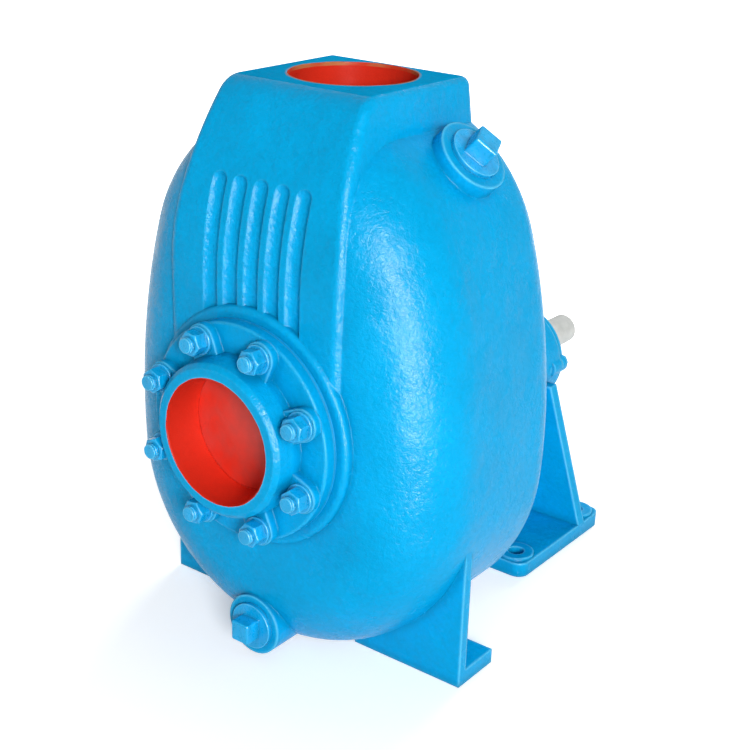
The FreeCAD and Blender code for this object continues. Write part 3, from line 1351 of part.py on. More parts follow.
rib_outline = (
    (D.rear_foot_front + corner, D.rear_foot_thickness / 2),
    (foot_rear - corner, D.rear_foot_thickness / 2),
    (D.frame_tube_end - corner, D.shaft_height - D.bearing_radius - D.lantern_wall / 2),
    (D.lantern_end, D.shaft_height - D.bearing_radius - D.lantern_wall / 2),
)
foot_rib = new_body("foot_rib")
pad(foot_rib, path(sketch(foot_rib, "YZ"), rib_outline), D.rear_rib_thickness, both_ways=True)
tube_room = cylinder("tube_room", D.bearing_radius, D.frame_tube_end - D.inboard_place,
                     (0, D.inboard_place, D.shaft_height), "rear")
one_lug = cylinder("frame_lug", D.cap_lug_radius, D.cap_bolt_grip,
                   (D.cap_bolt_circle, D.frame_tube_end, D.shaft_height), "front")
frame_lugs = around("frame_lugs", one_lug, D.shaft_height, D.cap_bolt_count, 0)
cap_hole = cylinder("cap_hole", D.cap_bolt_radius + D.thread_clearance, D.cap_bolt_grip + D.cap_bolt_radius,
                    (D.cap_bolt_circle, D.frame_tube_end, D.shaft_height), "front")
cap_holes = around("cap_holes", cap_hole, D.shaft_height, D.cap_bolt_count, 0)
frame_solid = fuse("frame_solid", [bearing_frame, rear_foot, cross_web, foot_rib, frame_lugs] + foot_bosses)
frame_tools = fuse("frame_tools", [tube_room, cap_holes] + foot_holes)
bearing_frame_finished = cut("bearing_frame_finished", frame_solid, frame_tools)


# The two ball bearings

def bearing(where, start):
    """Outer race, inner race, balls and cage of one deep-groove bearing."""
    middle = start + D.bearing_width / 2
    track = D.ball_radius + D.ball_clearance
    reach = leg_of(track, D.track_shoulder)
    outer_shoulder = D.bearing_pitch_radius + D.track_shoulder
    inner_shoulder = D.bearing_pitch_radius - D.track_shoulder
    outer = turned(where + "_outer_race", D.shaft_height, (
        (start, outer_shoulder),
        (middle - reach, outer_shoulder, -track),
        (middle + reach, outer_shoulder),
        (start + D.bearing_width, outer_shoulder),
        (start + D.bearing_width, D.bearing_radius),
        (start, D.bearing_radius),
    ))
    inner = turned(where + "_inner_race", D.shaft_height, (
        (start, D.bearing_seat_radius),
        (start + D.bearing_width, D.bearing_seat_radius),
        (start + D.bearing_width, inner_shoulder),
        (middle + reach, inner_shoulder, -track),
        (middle - reach, inner_shoulder),
        (start, inner_shoulder),
    ))
    ball = doc.addObject("Part::Sphere", where + "_ball")
    bind(ball, "Radius", D.ball_radius)
    place(ball, (D.bearing_pitch_radius, middle, D.shaft_height))
    balls = around(where + "_balls", ball, D.shaft_height, D.ball_count, 0)
    cage = ring(where + "_cage", D.shaft_height, middle - D.cage_half_width, 2 * D.cage_half_width,
                D.bearing_pitch_radius - D.cage_half_thickness,
                D.bearing_pitch_radius + D.cage_half_thickness)
    window_sketch = sketch(cage, "YZ", 0)
    circle(window_sketch, (middle, D.shaft_height), D.ball_radius + D.cage_pocket_clearance)
    hole = pocket(cage, window_sketch, D.bearing_radius, towards_normal=True)
    centre_sketch = sketch(cage, "XZ", middle, (0, D.shaft_height))
    circle(centre_sketch, (0, 0), D.bearing_pitch_radius)
    pattern = cage.newObject("PartDesign::PolarPattern", where + "_cage_pattern")
    pattern.Originals = [hole]
    pattern.Axis = (centre_sketch, ["N_Axis"])
    pattern.Angle = 360
    bind(pattern, "Occurrences", D.ball_count)
    cage.Tip = pattern
    return outer, inner, balls, cage


inboard = bearing("inboard", D.inboard_place)
outboard = bearing("outboard", D.outboard_place)
retaining_ring = turned("retaining_ring", D.shaft_height, (
    (outboard_end, groove_radius),
    (snap_end, groove_radius),
    (snap_end, D.bearing_seat_radius + D.snap_ring_height),
    (outboard_end, D.bearing_seat_radius + D.snap_ring_height),
), D.snap_ring_angle)


def lip_seal(label, start, outer, shaft_radius):
    """A rubber shaft seal: a cup with a lip that runs on the shaft."""
    end = start + D.lip_seal_width
    lip = shaft_radius + D.running_clearance
    return turned(label, D.shaft_height, (
        (start, outer),
        (end, outer),
        (end, outer - D.lip_wall),
        (start + D.lip_wall, outer - D.lip_wall),
        (start + D.lip_wall, lip + D.lip_wall),
        (end - D.lip_wall, lip + D.lip_wall),
        (end - D.lip_wall, lip),
        (start, lip),
    ))


inboard_lip_seal = lip_seal("inboard_lip_seal", seal_bore_front, D.frame_seal_radius, D.bearing_seat_radius)
outer_seal_start = cap_rear - D.lip_seal_width
outboard_lip_seal = lip_seal("outboard_lip_seal", outer_seal_start, D.cap_seal_radius, D.shaft_seal_radius)
water_slinger = turned("water_slinger", D.shaft_height, (
    (D.slinger_place, D.bearing_seat_radius),
    (D.slinger_place + D.slinger_thickness, D.bearing_seat_radius),
    (D.slinger_place + D.slinger_thickness, D.slinger_radius - D.slinger_thickness),
    (D.slinger_place + D.slinger_thickness / 2, D.slinger_radius),
    (D.slinger_place, D.slinger_radius),
))


# The bearing cap

spigot_length = cap_face - outboard_end
bearing_cap_disc = turned("bearing_cap_disc", D.shaft_height, (
    (cap_face - spigot_length, D.bearing_seat_radius + 3 * D.lip_wall),
    (cap_face - spigot_length, D.bearing_radius - D.spigot_clearance),
    (cap_face, D.bearing_radius - D.spigot_clearance),
    (cap_face, D.cap_radius),
    (cap_rim_rear, D.cap_radius),
    (cap_rim_rear, D.cap_hub_radius + D.cap_hub_height),
    (cap_rear, D.cap_hub_radius),
    (cap_rear, D.cap_seal_radius),
    (outer_seal_start, D.cap_seal_radius),
    (outer_seal_start, D.cap_shaft_hole_radius),
    (cap_face, D.cap_shaft_hole_radius),
    (cap_face, D.bearing_seat_radius + 3 * D.lip_wall),
))
cap_lug = cylinder("cap_lug", D.cap_lug_radius, D.cap_thickness,
                   (D.cap_bolt_circle, cap_face, D.shaft_height), "rear")
cap_lugs = around("cap_lugs", cap_lug, D.shaft_height, D.cap_bolt_count, 0)
cap_clear = cylinder("cap_clear", D.cap_bolt_radius + D.hole_clearance, 3 * D.cap_thickness,
                     (D.cap_bolt_circle, cap_face - D.cap_thickness, D.shaft_height), "rear")
cap_clears = around("cap_clears", cap_clear, D.shaft_height, D.cap_bolt_count, 0)
bearing_cap = cut("bearing_cap", fuse("cap_solid", [bearing_cap_disc, cap_lugs]), cap_clears)
bearing_cap_gasket = ring("bearing_cap_gasket", D.shaft_height, D.frame_tube_end, D.cap_gasket_thickness,
                          D.bearing_radius, D.frame_tube_radius - D.cap_gasket_thickness)
drill_round(bearing_cap_gasket, D.frame_tube_end, D.shaft_height, D.cap_bolt_circle, 0, D.cap_bolt_count,
            D.cap_bolt_radius + D.hole_clearance)
one_cap_bolt = bolt("one_cap_bolt", D.cap_bolt_flats, D.cap_bolt_head, D.cap_bolt_radius,
                    cap_rim_rear - D.frame_tube_end + D.cap_bolt_grip,
                    (D.cap_bolt_circle, cap_rim_rear, D.shaft_height), "rear")
bearing_cap_bolts = around("bearing_cap_bolts", one_cap_bolt, D.shaft_height, D.cap_bolt_count, 0)


# The two plugs

def plug(label, seat, thread, collar, head_width, head_height, head_angle):
    """A square-head plug along its body's own X axis."""
    body = new_body(label)
    profile = path(sketch(body, "XY"), (
        (seat - D.plug_thread_length, 0),
        (seat, 0),
        (seat + D.plug_collar_height, 0),
        (seat + D.plug_collar_height, collar),
        (seat, collar),
        (seat, thread),
        (seat - D.plug_thread_length, thread),
    ))
    barrel = body.newObject("PartDesign::Revolution", label + "_turned")
    barrel.Profile = profile
    barrel.ReferenceAxis = (profile, ["H_Axis"])
    barrel.Angle = 360
    corner = head_width / 2
    square = ((-corner, -corner), (corner, -corner), (corner, corner), (-corner, corner))
    head = sketch(body, "YZ", seat + D.plug_collar_height, (0, 0), head_angle)
    pad(body, path(head, square), head_height)
    head_start = number(seat + D.plug_collar_height)
    round_edges(body, D.plug_head_round, lambda point, edge: point.x > head_start + 0.5)
    return body


fill_plug = on_fill_axis(plug("fill_plug", fill_seat, D.fill_thread_radius, D.fill_collar_radius,
                              D.fill_head_width, D.fill_head_height, D.fill_head_angle))
drain_plug = on_drain_axis(plug("drain_plug", nothing, D.drain_thread_radius, D.drain_collar_radius,
                                D.drain_head_width, D.drain_head_height, D.drain_head_angle))


# Check every object, then write one file for each node

NODES = {
    "pump_casing": pump_casing,
    "suction_flange": suction_flange,
    "suction_gasket": suction_gasket,
    "flange_studs": flange_studs,
    "flange_washers": flange_washers,
    "flange_nuts": flange_nuts,
    "valve_disc": valve_disc,
    "valve_backing_plate": valve_backing_plate,
    "valve_arm": valve_arm,
    "valve_hinge_pin": valve_hinge_pin,
    "valve_bolt": valve_bolt,
    "wear_plate": wear_plate,
    "wear_plate_screws": wear_plate_screws,
    "impeller": impeller,
    "impeller_key": impeller_key,
    "impeller_washer": impeller_washer,
    "impeller_bolt": impeller_bolt,
    "shaft": shaft,
    "shaft_sleeve": shaft_sleeve,
    "seal_seat": seal_seat,
    "seal_seat_cup": seal_seat_cup,
    "seal_face": seal_face,
    "seal_bellows": seal_bellows,
    "seal_spring": seal_spring,
    "seal_retainer": seal_retainer,
    "seal_plate": seal_plate,
    "seal_plate_ring": seal_plate_ring,
    "frame_bolts": frame_bolts,
    "bearing_frame": bearing_frame_finished,
    "inboard_outer_race": inboard[0],
    "inboard_inner_race": inboard[1],
    "inboard_balls": inboard[2],
    "inboard_cage": inboard[3],
    "outboard_outer_race": outboard[0],
    "outboard_inner_race": outboard[1],
    "outboard_balls": outboard[2],
    "outboard_cage": outboard[3],
    "retaining_ring": retaining_ring,
    "inboard_lip_seal": inboard_lip_seal,
    "outboard_lip_seal": outboard_lip_seal,
    "water_slinger": water_slinger,
    "bearing_cap": bearing_cap,
    "bearing_cap_gasket": bearing_cap_gasket,
    "bearing_cap_bolts": bearing_cap_bolts,
    "fill_plug": fill_plug,
    "drain_plug": drain_plug,
}

doc.recompute()
failed = [item.Label for item in doc.Objects if "Invalid" in item.State or "Error" in item.State]
if failed:
    raise RuntimeError("did not compute: " + ", ".join(failed))
os.makedirs("parts", exist_ok=True)
for node, item in NODES.items():
    if item.Shape.isNull() or not item.Shape.isValid():
        raise RuntimeError(f"{node} has no valid shape")
    item.Shape.exportStep(f"parts/{node}.step")
    print(node, len(item.Shape.Solids), round(item.Shape.Volume / 1000, 1), "cm3")
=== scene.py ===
"""Dress a self-priming pump: paint, primer, bare metal, rubber, stud threads, floor and light."""

import math

import bpy
from bpy.props import FloatProperty, FloatVectorProperty, IntProperty, PointerProperty
from bpy.types import Operator, Panel, PropertyGroup
from mathutils import Matrix, Vector


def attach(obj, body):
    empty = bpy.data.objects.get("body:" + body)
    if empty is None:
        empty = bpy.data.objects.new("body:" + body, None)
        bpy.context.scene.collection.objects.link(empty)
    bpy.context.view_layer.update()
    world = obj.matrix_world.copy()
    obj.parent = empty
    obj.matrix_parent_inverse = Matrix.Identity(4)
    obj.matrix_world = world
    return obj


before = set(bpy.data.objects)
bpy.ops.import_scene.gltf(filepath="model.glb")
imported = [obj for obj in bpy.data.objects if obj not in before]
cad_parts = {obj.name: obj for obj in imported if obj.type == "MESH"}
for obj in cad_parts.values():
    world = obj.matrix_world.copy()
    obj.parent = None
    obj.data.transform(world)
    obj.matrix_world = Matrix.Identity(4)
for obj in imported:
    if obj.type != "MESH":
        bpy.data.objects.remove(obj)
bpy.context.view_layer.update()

bl_info = {
    "name": "Self-priming pump",
    "version": (1, 0, 0),
    "blender": (4, 5, 0),
    "location": "View3D > Sidebar > Pump",
    "description": "Paints and lights a self-priming centrifugal pump",
    "category": "Object",
}

# Places of the pump that patterns are centred on, in metres
SHAFT_HEIGHT = 0.1734
SUCTION_HEIGHT = 0.231
DISCHARGE_PLACE = -0.114
PORT_RADIUS = 0.055
SUCTION_OPENING_RADIUS = 0.071
DISCHARGE_FACE = 0.511
SUCTION_FLANGE_REAR = -0.249
# The arc that the space under the leaning front panel follows: its centre along the shaft and up
LEAN_CENTRE = (0.026, 0.350)
LEAN_INSIDE_RADIUS = 0.2655
# Rooms inside the casing, each from its low corner to its high corner
SUCTION_CHAMBER = ((-0.0905, -0.2225, 0.090), (0.0905, -0.118, 0.335))
TANK_INSIDE = ((-0.105, -0.190, 0.060), (0.105, -0.050, 0.345))
NECK_INSIDE = ((-0.064, -0.190, 0.340), (0.064, -0.058, 0.4865))
UNDER_PANEL = ((-0.066, -0.240, 0.350), (0.066, -0.058, 0.4865))
# What is kept of a place to measure from a line across the pump, along the shaft or upright
FROM_ACROSS = (0.0, 1.0, 1.0)
FROM_SHAFT_LINE = (1.0, 0.0, 1.0)
FROM_UPRIGHT = (1.0, 1.0, 0.0)
# Radii inside which the round pieces between two castings are left bare
GASKET_BARE_RADIUS = 0.0955
SEAL_PLATE_BARE_RADIUS = 0.1334
# How far in front of the origin the suction studs end and their nuts' outer faces lie
STUD_END = 0.288
NUT_FACE = 0.283
# Thin paint over iron at the discharge, and pale blue for a painted highlight along edges
BARE_LIP = (0.52, 0.20, 0.075, 1.0)
EDGE_HIGHLIGHT_BLUE = (0.09, 0.56, 0.88, 1.0)
# How much enamel mirrors on the cast skin, on machined faces and on thickly brushed small pieces
ENAMEL_MIRROR = 0.055
MACHINED_MIRROR = 0.01
BRUSHED_MIRROR = 0.34


class PaintSettings(PropertyGroup):
    """Colours and grain of the painted castings."""

    paint: FloatVectorProperty(
        name="Paint", description="Colour of the enamel on all outside surfaces",
        subtype="COLOR", size=3, min=0, max=1, default=(0.0, 0.40, 0.78))
    primer: FloatVectorProperty(
        name="Primer", description="Colour of the primer inside the ports",
        subtype="COLOR", size=3, min=0, max=1, default=(0.68, 0.028, 0.012))
    grain_size: FloatProperty(
        name="Grain size", description="Width of one pebble of the cast skin",
        unit="LENGTH", min=0.001, max=0.02, default=0.0030)
    grain_height: FloatProperty(
        name="Grain height", description="Depth of the cast skin",
        unit="LENGTH", min=0.0, max=0.002, default=0.00055)
    edge_radius: FloatProperty(
        name="Edge radius", description="How far paint rounds the casting's edges and creases",
        unit="LENGTH", min=0.0002, max=0.01, default=0.0022)


class MetalSettings(PropertyGroup):
    """Colours of the bare metal pieces."""

    shaft: FloatVectorProperty(
        name="Shaft", description="Colour of the turned steel shaft",
        subtype="COLOR", size=3, min=0, max=1, default=(0.62, 0.63, 0.60))
    plating: FloatVectorProperty(
        name="Plating", description="Colour of plated bolts",
        subtype="COLOR", size=3, min=0, max=1, default=(0.62, 0.63, 0.66))
    bronze: FloatVectorProperty(
        name="Bronze", description="Colour of the shaft sleeve and the bearing cages",
        subtype="COLOR", size=3, min=0, max=1, default=(0.60, 0.36, 0.15))
    iron: FloatVectorProperty(
        name="Iron", description="Colour of bare cast iron inside the pump",
        subtype="COLOR", size=3, min=0, max=1, default=(0.10, 0.10, 0.105))


class ThreadSettings(PropertyGroup):
    """Sizes of the thread that shows beyond the suction nuts, and where its studs stand."""

    pitch: FloatProperty(
        name="Pitch", description="Rise of the thread in one turn",
        unit="LENGTH", min=0.0005, max=0.005, default=0.00195)
    crest_radius: FloatProperty(
        name="Crest radius", description="Radius of the thread to the middle of its ridge",
        unit="LENGTH", min=0.003, max=0.01, default=0.0062)
    ridge_radius: FloatProperty(
        name="Ridge radius", description="Half the width of the thread's ridge",
        unit="LENGTH", min=0.0001, max=0.001, default=0.00055)
    circle_radius: FloatProperty(
        name="Circle radius", description="Circle on which the studs stand",
        unit="LENGTH", min=0.05, max=0.15, default=0.0833)
    first_angle: FloatProperty(
        name="First angle", description="First stud above the horizontal",
        subtype="ANGLE", min=0, max=3.1416, default=math.radians(22.5))
    count: IntProperty(
        name="Count", description="Number of studs", min=1, max=24, default=8)


class StageSettings(PropertyGroup):
    """Floor, light and camera."""

    floor: FloatVectorProperty(
        name="Floor", description="Colour of the floor",
        subtype="COLOR", size=3, min=0, max=1, default=(0.80, 0.80, 0.80))
    ambient: FloatProperty(
        name="Ambient", description="Strength of the light from all round",
        min=0, max=2, default=0.27)
    key_power: FloatProperty(
        name="Key power", description="Power of the large light at the right front",
        subtype="POWER", min=0, max=400, default=150)
    gleam_power: FloatProperty(
        name="Gleam power", description="Power of the small lights that only make the paint gleam",
        subtype="POWER", min=0, max=400, default=185)
    back_power: FloatProperty(
        name="Back power", description="Power of the soft light behind the pump",
        subtype="POWER", min=0, max=400, default=75)
    lens: FloatProperty(
        name="Lens", description="Focal length of the camera",
        unit="CAMERA", min=10, max=300, default=67.92)


# Nodes of materials

def add_node(tree, kind, inputs=None, **fields):
    """Add a node, set its fields, and set or link its inputs."""
    node = tree.nodes.new(kind)
    for field, value in fields.items():
        setattr(node, field, value)
    for socket, value in (inputs or {}).items():
        if isinstance(value, bpy.types.NodeSocket):
            tree.links.new(value, node.inputs[socket])
        else:
            node.inputs[socket].default_value = value
    return node


def number(tree, operation, first, second=0.0, clamp=False):
    node = add_node(tree, "ShaderNodeMath", {0: first, 1: second}, operation=operation, use_clamp=clamp)
    return node.outputs[0]


def along(tree, operation, first, second=(0.0, 0.0, 0.0)):
    """A sum, product or length of vectors."""
    node = add_node(tree, "ShaderNodeVectorMath", {0: first, 1: second}, operation=operation)
    return node.outputs["Value"] if operation == "LENGTH" else node.outputs["Vector"]


def noise(tree, place, scale, detail=2.0, roughness=0.5, distortion=0.0):
    settings = {"Vector": place, "Scale": scale, "Detail": detail, "Roughness": roughness,
                "Distortion": distortion}
    return add_node(tree, "ShaderNodeTexNoise", settings).outputs[0]


def stretch(tree, value, low, high, new_low=0.0, new_high=1.0):
    """Spread a value from one range over another."""
    settings = {"Value": value, "From Min": low, "From Max": high, "To Min": new_low, "To Max": new_high}
    return add_node(tree, "ShaderNodeMapRange", settings).outputs[0]


def blend_colours(tree, factor, first, second):
    node = add_node(tree, "ShaderNodeMix", {0: factor, 6: first, 7: second}, data_type="RGBA")
    return node.outputs[2]


def blend_numbers(tree, factor, first, second):
    node = add_node(tree, "ShaderNodeMix", {0: factor, 2: first, 3: second}, data_type="FLOAT")
    return node.outputs[0]


def bump(tree, height, distance, normal=None):
    settings = {"Height": height, "Distance": distance, "Strength": 1.0}
    if normal is not None:
        settings["Normal"] = normal
    return add_node(tree, "ShaderNodeBump", settings).outputs[0]


def object_place(tree):
    return add_node(tree, "ShaderNodeTexCoord").outputs["Object"]


def soft_edges(tree, radius):
    """Normals as if edges and creases were rounded."""
    return add_node(tree, "ShaderNodeBevel", {"Radius": radius}, samples=8).outputs[0]


def part_of(tree, place, axis):
    """How far along x, y or z a place lies."""
    return add_node(tree, "ShaderNodeSeparateXYZ", {0: place}).outputs[axis]


def shade(colour, share):
    """A colour made lighter or darker by a share of itself."""
    return tuple(min(channel * share, 1.0) for channel in colour[:3]) + (1.0,)


def mottle(tree, mask, colour, dark, pale):
    """A colour that wanders between two shares of itself."""
    return blend_colours(tree, mask, shade(colour, dark), shade(colour, pale))


def paint_nook_shade(tree, colour, paint, reach):
    """Painted shade in tight corners: a darker paint where other faces lie within reach."""
    shut = add_node(tree, "ShaderNodeAmbientOcclusion", {"Distance": reach}, samples=8)
    return blend_colours(tree, stretch(tree, shut.outputs["AO"], 0.30, 0.92), shade(paint, 0.52), colour)


def paint_edge_highlight(tree, colour, reach):
    """Painted highlight along the edges between faces, found by how thin the piece is there."""
    thin = add_node(tree, "ShaderNodeAmbientOcclusion", {"Distance": reach}, samples=8, inside=True,
                    only_local=True)
    return blend_colours(tree, stretch(tree, thin.outputs["AO"], 0.55, 0.88), EDGE_HIGHLIGHT_BLUE, colour)


def start_material(name):
    material = bpy.data.materials.new(name)
    material.use_nodes = True
    tree = material.node_tree
    shader = next(node for node in tree.nodes if node.type == "BSDF_PRINCIPLED")
    return material, tree, shader


def link_looks(tree, shader, colour, gloss, normal):
    """Link a material's colour, roughness and normals to its shader."""
    for socket, value in (("Base Color", colour), ("Roughness", gloss), ("Normal", normal)):
        tree.links.new(value, shader.inputs[socket])


def inside_radius(tree, place, kept, centre, radius):
    """One inside a round bore whose axis is the direction that isn't kept."""
    flat = along(tree, "MULTIPLY", place, kept)
    reach = along(tree, "LENGTH", along(tree, "SUBTRACT", flat, centre))
    return number(tree, "LESS_THAN", reach, radius)


def inside_box(tree, place, low, high):
    """One inside a box."""
    centre = tuple((a + b) / 2 for a, b in zip(low, high))
    half = tuple((b - a) / 2 for a, b in zip(low, high))
    away = along(tree, "ABSOLUTE", along(tree, "SUBTRACT", place, centre))
    parts = add_node(tree, "ShaderNodeSeparateXYZ", {0: along(tree, "SUBTRACT", away, half)})
    widest = number(tree, "MAXIMUM", parts.outputs[0], parts.outputs[1])
    return number(tree, "LESS_THAN", number(tree, "MAXIMUM", widest, parts.outputs[2]), 0.0)


def either(tree, *masks):
    result = masks[0]
    for mask in masks[1:]:
        result = number(tree, "MAXIMUM", result, mask)
    return result


def wavering(tree, place, amount):
    """A place that wanders a little, for the edge of brushed paint."""
    wander = add_node(tree, "ShaderNodeTexNoise", {"Vector": place, "Scale": 90.0, "Detail": 2.0})
    shift = along(tree, "SUBTRACT", wander.outputs["Color"], (0.5, 0.5, 0.5))
    return along(tree, "ADD", place, along(tree, "MULTIPLY", shift, (amount, amount, amount)))


def casing_ports(tree, place):
    """Where the casing is primed: its two openings and everything behind them."""
    hand = wavering(tree, place, 0.0012)
    margin = 0.0006
    bore = inside_radius(tree, hand, FROM_UPRIGHT, (0.0, DISCHARGE_PLACE, 0.0), PORT_RADIUS + margin)
    upper_half = number(tree, "GREATER_THAN", part_of(tree, place, 2), 0.300)
    discharge = number(tree, "MULTIPLY", bore, upper_half)
    opening = inside_radius(tree, hand, FROM_SHAFT_LINE, (0.0, 0.0, SUCTION_HEIGHT),
                            SUCTION_OPENING_RADIUS + margin)
    front = number(tree, "LESS_THAN", part_of(tree, place, 1), -0.2)
    suction = number(tree, "MULTIPLY", opening, front)
    rooms = [inside_box(tree, place, *room) for room in (SUCTION_CHAMBER, TANK_INSIDE, NECK_INSIDE)]
    lean = inside_radius(tree, place, FROM_ACROSS, (0.0, *LEAN_CENTRE), LEAN_INSIDE_RADIUS)
    slope = number(tree, "MULTIPLY", lean, inside_box(tree, place, *UNDER_PANEL))
    return either(tree, discharge, suction, *rooms, slope)


def discharge_lip(tree, place):
    """The edge of the discharge bore, where both paints wore thin in patches."""
    hand = wavering(tree, place, 0.0016)
    middle = (0.0, DISCHARGE_PLACE, 0.0)
    outer = inside_radius(tree, hand, FROM_UPRIGHT, middle, PORT_RADIUS + 0.0024)
    inner = inside_radius(tree, hand, FROM_UPRIGHT, middle, PORT_RADIUS - 0.0004)
    high = number(tree, "GREATER_THAN", part_of(tree, place, 2), DISCHARGE_FACE - 0.003)
    ring = number(tree, "MULTIPLY", number(tree, "SUBTRACT", outer, inner, True), high)
    patches = stretch(tree, noise(tree, place, 32.0, 2.0, 0.5), 0.38, 0.60, 0.15, 0.85)
    return number(tree, "MULTIPLY", ring, patches)


def discharge_face(tree, place):
    """The machined face that the discharge pipe is bolted to."""
    return number(tree, "GREATER_THAN", part_of(tree, place, 2), DISCHARGE_FACE - 0.0006)


def suction_bore(tree, place):
    """Where the suction flange is primed: its bore and its rear face."""
    hand = wavering(tree, place, 0.0012)
    bore = inside_radius(tree, hand, FROM_SHAFT_LINE, (0.0, 0.0, SUCTION_HEIGHT), PORT_RADIUS + 0.0008)
    rear = number(tree, "GREATER_THAN", part_of(tree, place, 1), SUCTION_FLANGE_REAR + 0.0001)
    return either(tree, bore, rear)


def enamel(name, settings, grain=1.0, primed=None, rim=None, machined=None):
    """Gloss enamel over a sand-cast skin: primer in the ports, a lip where paint wore thin, matt on
    machined faces.
    """
    material, tree, shader = start_material(name)
    place = object_place(tree)
    size = settings.grain_size
    waves = noise(tree, place, 0.09 / size, 2.0, 0.5)
    pebbles = noise(tree, place, 0.75 / size, 3.0, 0.62, 0.4)
    sand = noise(tree, place, 1.9 / size, 2.0, 0.6)
    cells = add_node(tree, "ShaderNodeTexVoronoi",
                     {"Vector": place, "Scale": 0.55 / size, "Randomness": 1.0}, feature="F1")
    pits = stretch(tree, cells.outputs["Distance"], 0.02, 0.16, 0.0, 1.0)
    thin = noise(tree, place, 9.0, 3.0, 0.55)

    blue = settings.paint
    tone = mottle(tree, stretch(tree, thin, 0.3, 0.7), blue, 0.90, 1.07)
    # Painted shade: a darker blue in the hollows of the pebble grain that the bump sinks
    grain_hollow_shade = blend_colours(tree, stretch(tree, pebbles, 0.28, 0.72, 0.34, 0.0), tone, shade(blue, 0.62))
    # Painted shade darkens the nooks, and a painted highlight in pale blue lightens the edges
    colour = paint_nook_shade(tree, paint_edge_highlight(tree, grain_hollow_shade, 0.0035), blue, 0.012)
    if primed is not None:
        mask = primed(tree, place)
        red = settings.primer
        patch = mottle(tree, stretch(tree, thin, 0.3, 0.7), red, 0.86, 1.08)
        streak = blend_colours(tree, stretch(tree, sand, 0.3, 0.7, 0.25, 0.0), patch, shade(red, 0.70))
        colour = blend_colours(tree, mask, colour, streak)
    if rim is not None:
        colour = blend_colours(tree, rim(tree, place), colour, BARE_LIP)

    gloss = stretch(tree, noise(tree, place, 36.0, 3.0, 0.6), 0.3, 0.7, 0.20, 0.31)
    if primed is not None:
        gloss = blend_numbers(tree, mask, gloss, 0.30)
    mirror = shader.inputs["Specular IOR Level"]
    mirror.default_value = ENAMEL_MIRROR
    if machined is not None:
        flat = machined(tree, place)
        gloss = blend_numbers(tree, flat, gloss, 0.75)
        tree.links.new(stretch(tree, flat, 0.0, 1.0, ENAMEL_MIRROR, MACHINED_MIRROR), mirror)

    height = settings.grain_height * grain
    if primed is not None:
        height = stretch(tree, mask, 0.0, 1.0, height, height * 0.3)
    normal = soft_edges(tree, settings.edge_radius)
    for skin, share in ((waves, 5.0), (pebbles, 1.3), (pits, 0.22), (sand, 0.42)):
        normal = bump(tree, skin, number(tree, "MULTIPLY", height, share), normal)
    link_looks(tree, shader, colour, gloss, normal)
    return material


def brushed_enamel(name, settings):
    """The same enamel, brushed thickly over machined nuts, studs and plugs."""
    material, tree, shader = start_material(name)
    place = object_place(tree)
    blue = settings.paint
    brush = noise(tree, place, 260.0, 3.0, 0.6, 0.8)
    runs = noise(tree, along(tree, "MULTIPLY", place, (1.0, 1.0, 0.25)), 120.0, 2.0, 0.5)
    tone = mottle(tree, stretch(tree, runs, 0.32, 0.68), blue, 0.84, 1.10)
    # Painted shade darkens the nooks, and a painted highlight in pale blue lightens the edges
    colour = paint_nook_shade(tree, paint_edge_highlight(tree, tone, 0.0015), blue, 0.006)
    gloss = stretch(tree, brush, 0.3, 0.7, 0.22, 0.38)
    normal = bump(tree, runs, 0.0004, soft_edges(tree, 0.0011))
    link_looks(tree, shader, colour, gloss, bump(tree, brush, 0.00016, normal))
    shader.inputs["Specular IOR Level"].default_value = BRUSHED_MIRROR
    return material


def painted_rim(name, settings, bare, height, radius):
    """A round piece whose rim was painted with the rest of the pump, bare inside it."""
    material, tree, shader = start_material(name)
    place = object_place(tree)
    inner = inside_radius(tree, wavering(tree, place, 0.001), FROM_SHAFT_LINE, (0.0, 0.0, height), radius)
    skin = noise(tree, place, 190.0, 3.0, 0.6)
    core = mottle(tree, skin, bare, 0.75, 1.4)
    blue = mottle(tree, skin, settings.paint, 0.88, 1.06)
    gloss = stretch(tree, skin, 0.3, 0.7, 0.32, 0.46)
    normal = bump(tree, skin, 0.00022, soft_edges(tree, 0.0015))
    link_looks(tree, shader, blend_colours(tree, inner, blue, core), gloss, normal)
    shader.inputs["Specular IOR Level"].default_value = 0.10
    return material


def raw_iron(name, settings):
    """Grey cast iron: dark grain, a little rust, sandy skin."""
    material, tree, shader = start_material(name)
    place = object_place(tree)
    skin = noise(tree, place, 240.0, 4.0, 0.65)
    stain = noise(tree, place, 26.0, 3.0, 0.6)
    rust = (0.16, 0.055, 0.02, 1.0)
    base = mottle(tree, skin, settings.iron, 0.7, 1.5)
    rusty = blend_colours(tree, stretch(tree, stain, 0.56, 0.78, 0.0, 0.5), base, rust)
    gloss = stretch(tree, skin, 0.3, 0.7, 0.45, 0.7)
    link_looks(tree, shader, rusty, gloss, bump(tree, skin, 0.0004, soft_edges(tree, 0.0012)))
    shader.inputs["Metallic"].default_value = 0.6
    return material


def turned_steel(name, colour, roughness=0.30, marks=1.0, metal=1.0):
    """Steel off a lathe: fine rings round the shaft's line, faint stains."""
    material, tree, shader = start_material(name)
    place = object_place(tree)
    rings = noise(tree, along(tree, "MULTIPLY", place, (12.0, 2600.0, 12.0)), 1.0, 3.0, 0.7)
    stain = noise(tree, place, 55.0, 4.0, 0.6)
    base = mottle(tree, stretch(tree, stain, 0.35, 0.7), colour, 0.80, 1.06)
    ringed = blend_colours(tree, stretch(tree, rings, 0.3, 0.7, 0.0, 0.28), base, shade(colour, 0.66))
    gloss = stretch(tree, rings, 0.3, 0.7, roughness, roughness + 0.14)
    link_looks(tree, shader, ringed, gloss, bump(tree, rings, 0.000035 * marks, soft_edges(tree, 0.0005)))
    shader.inputs["Metallic"].default_value = metal
    return material


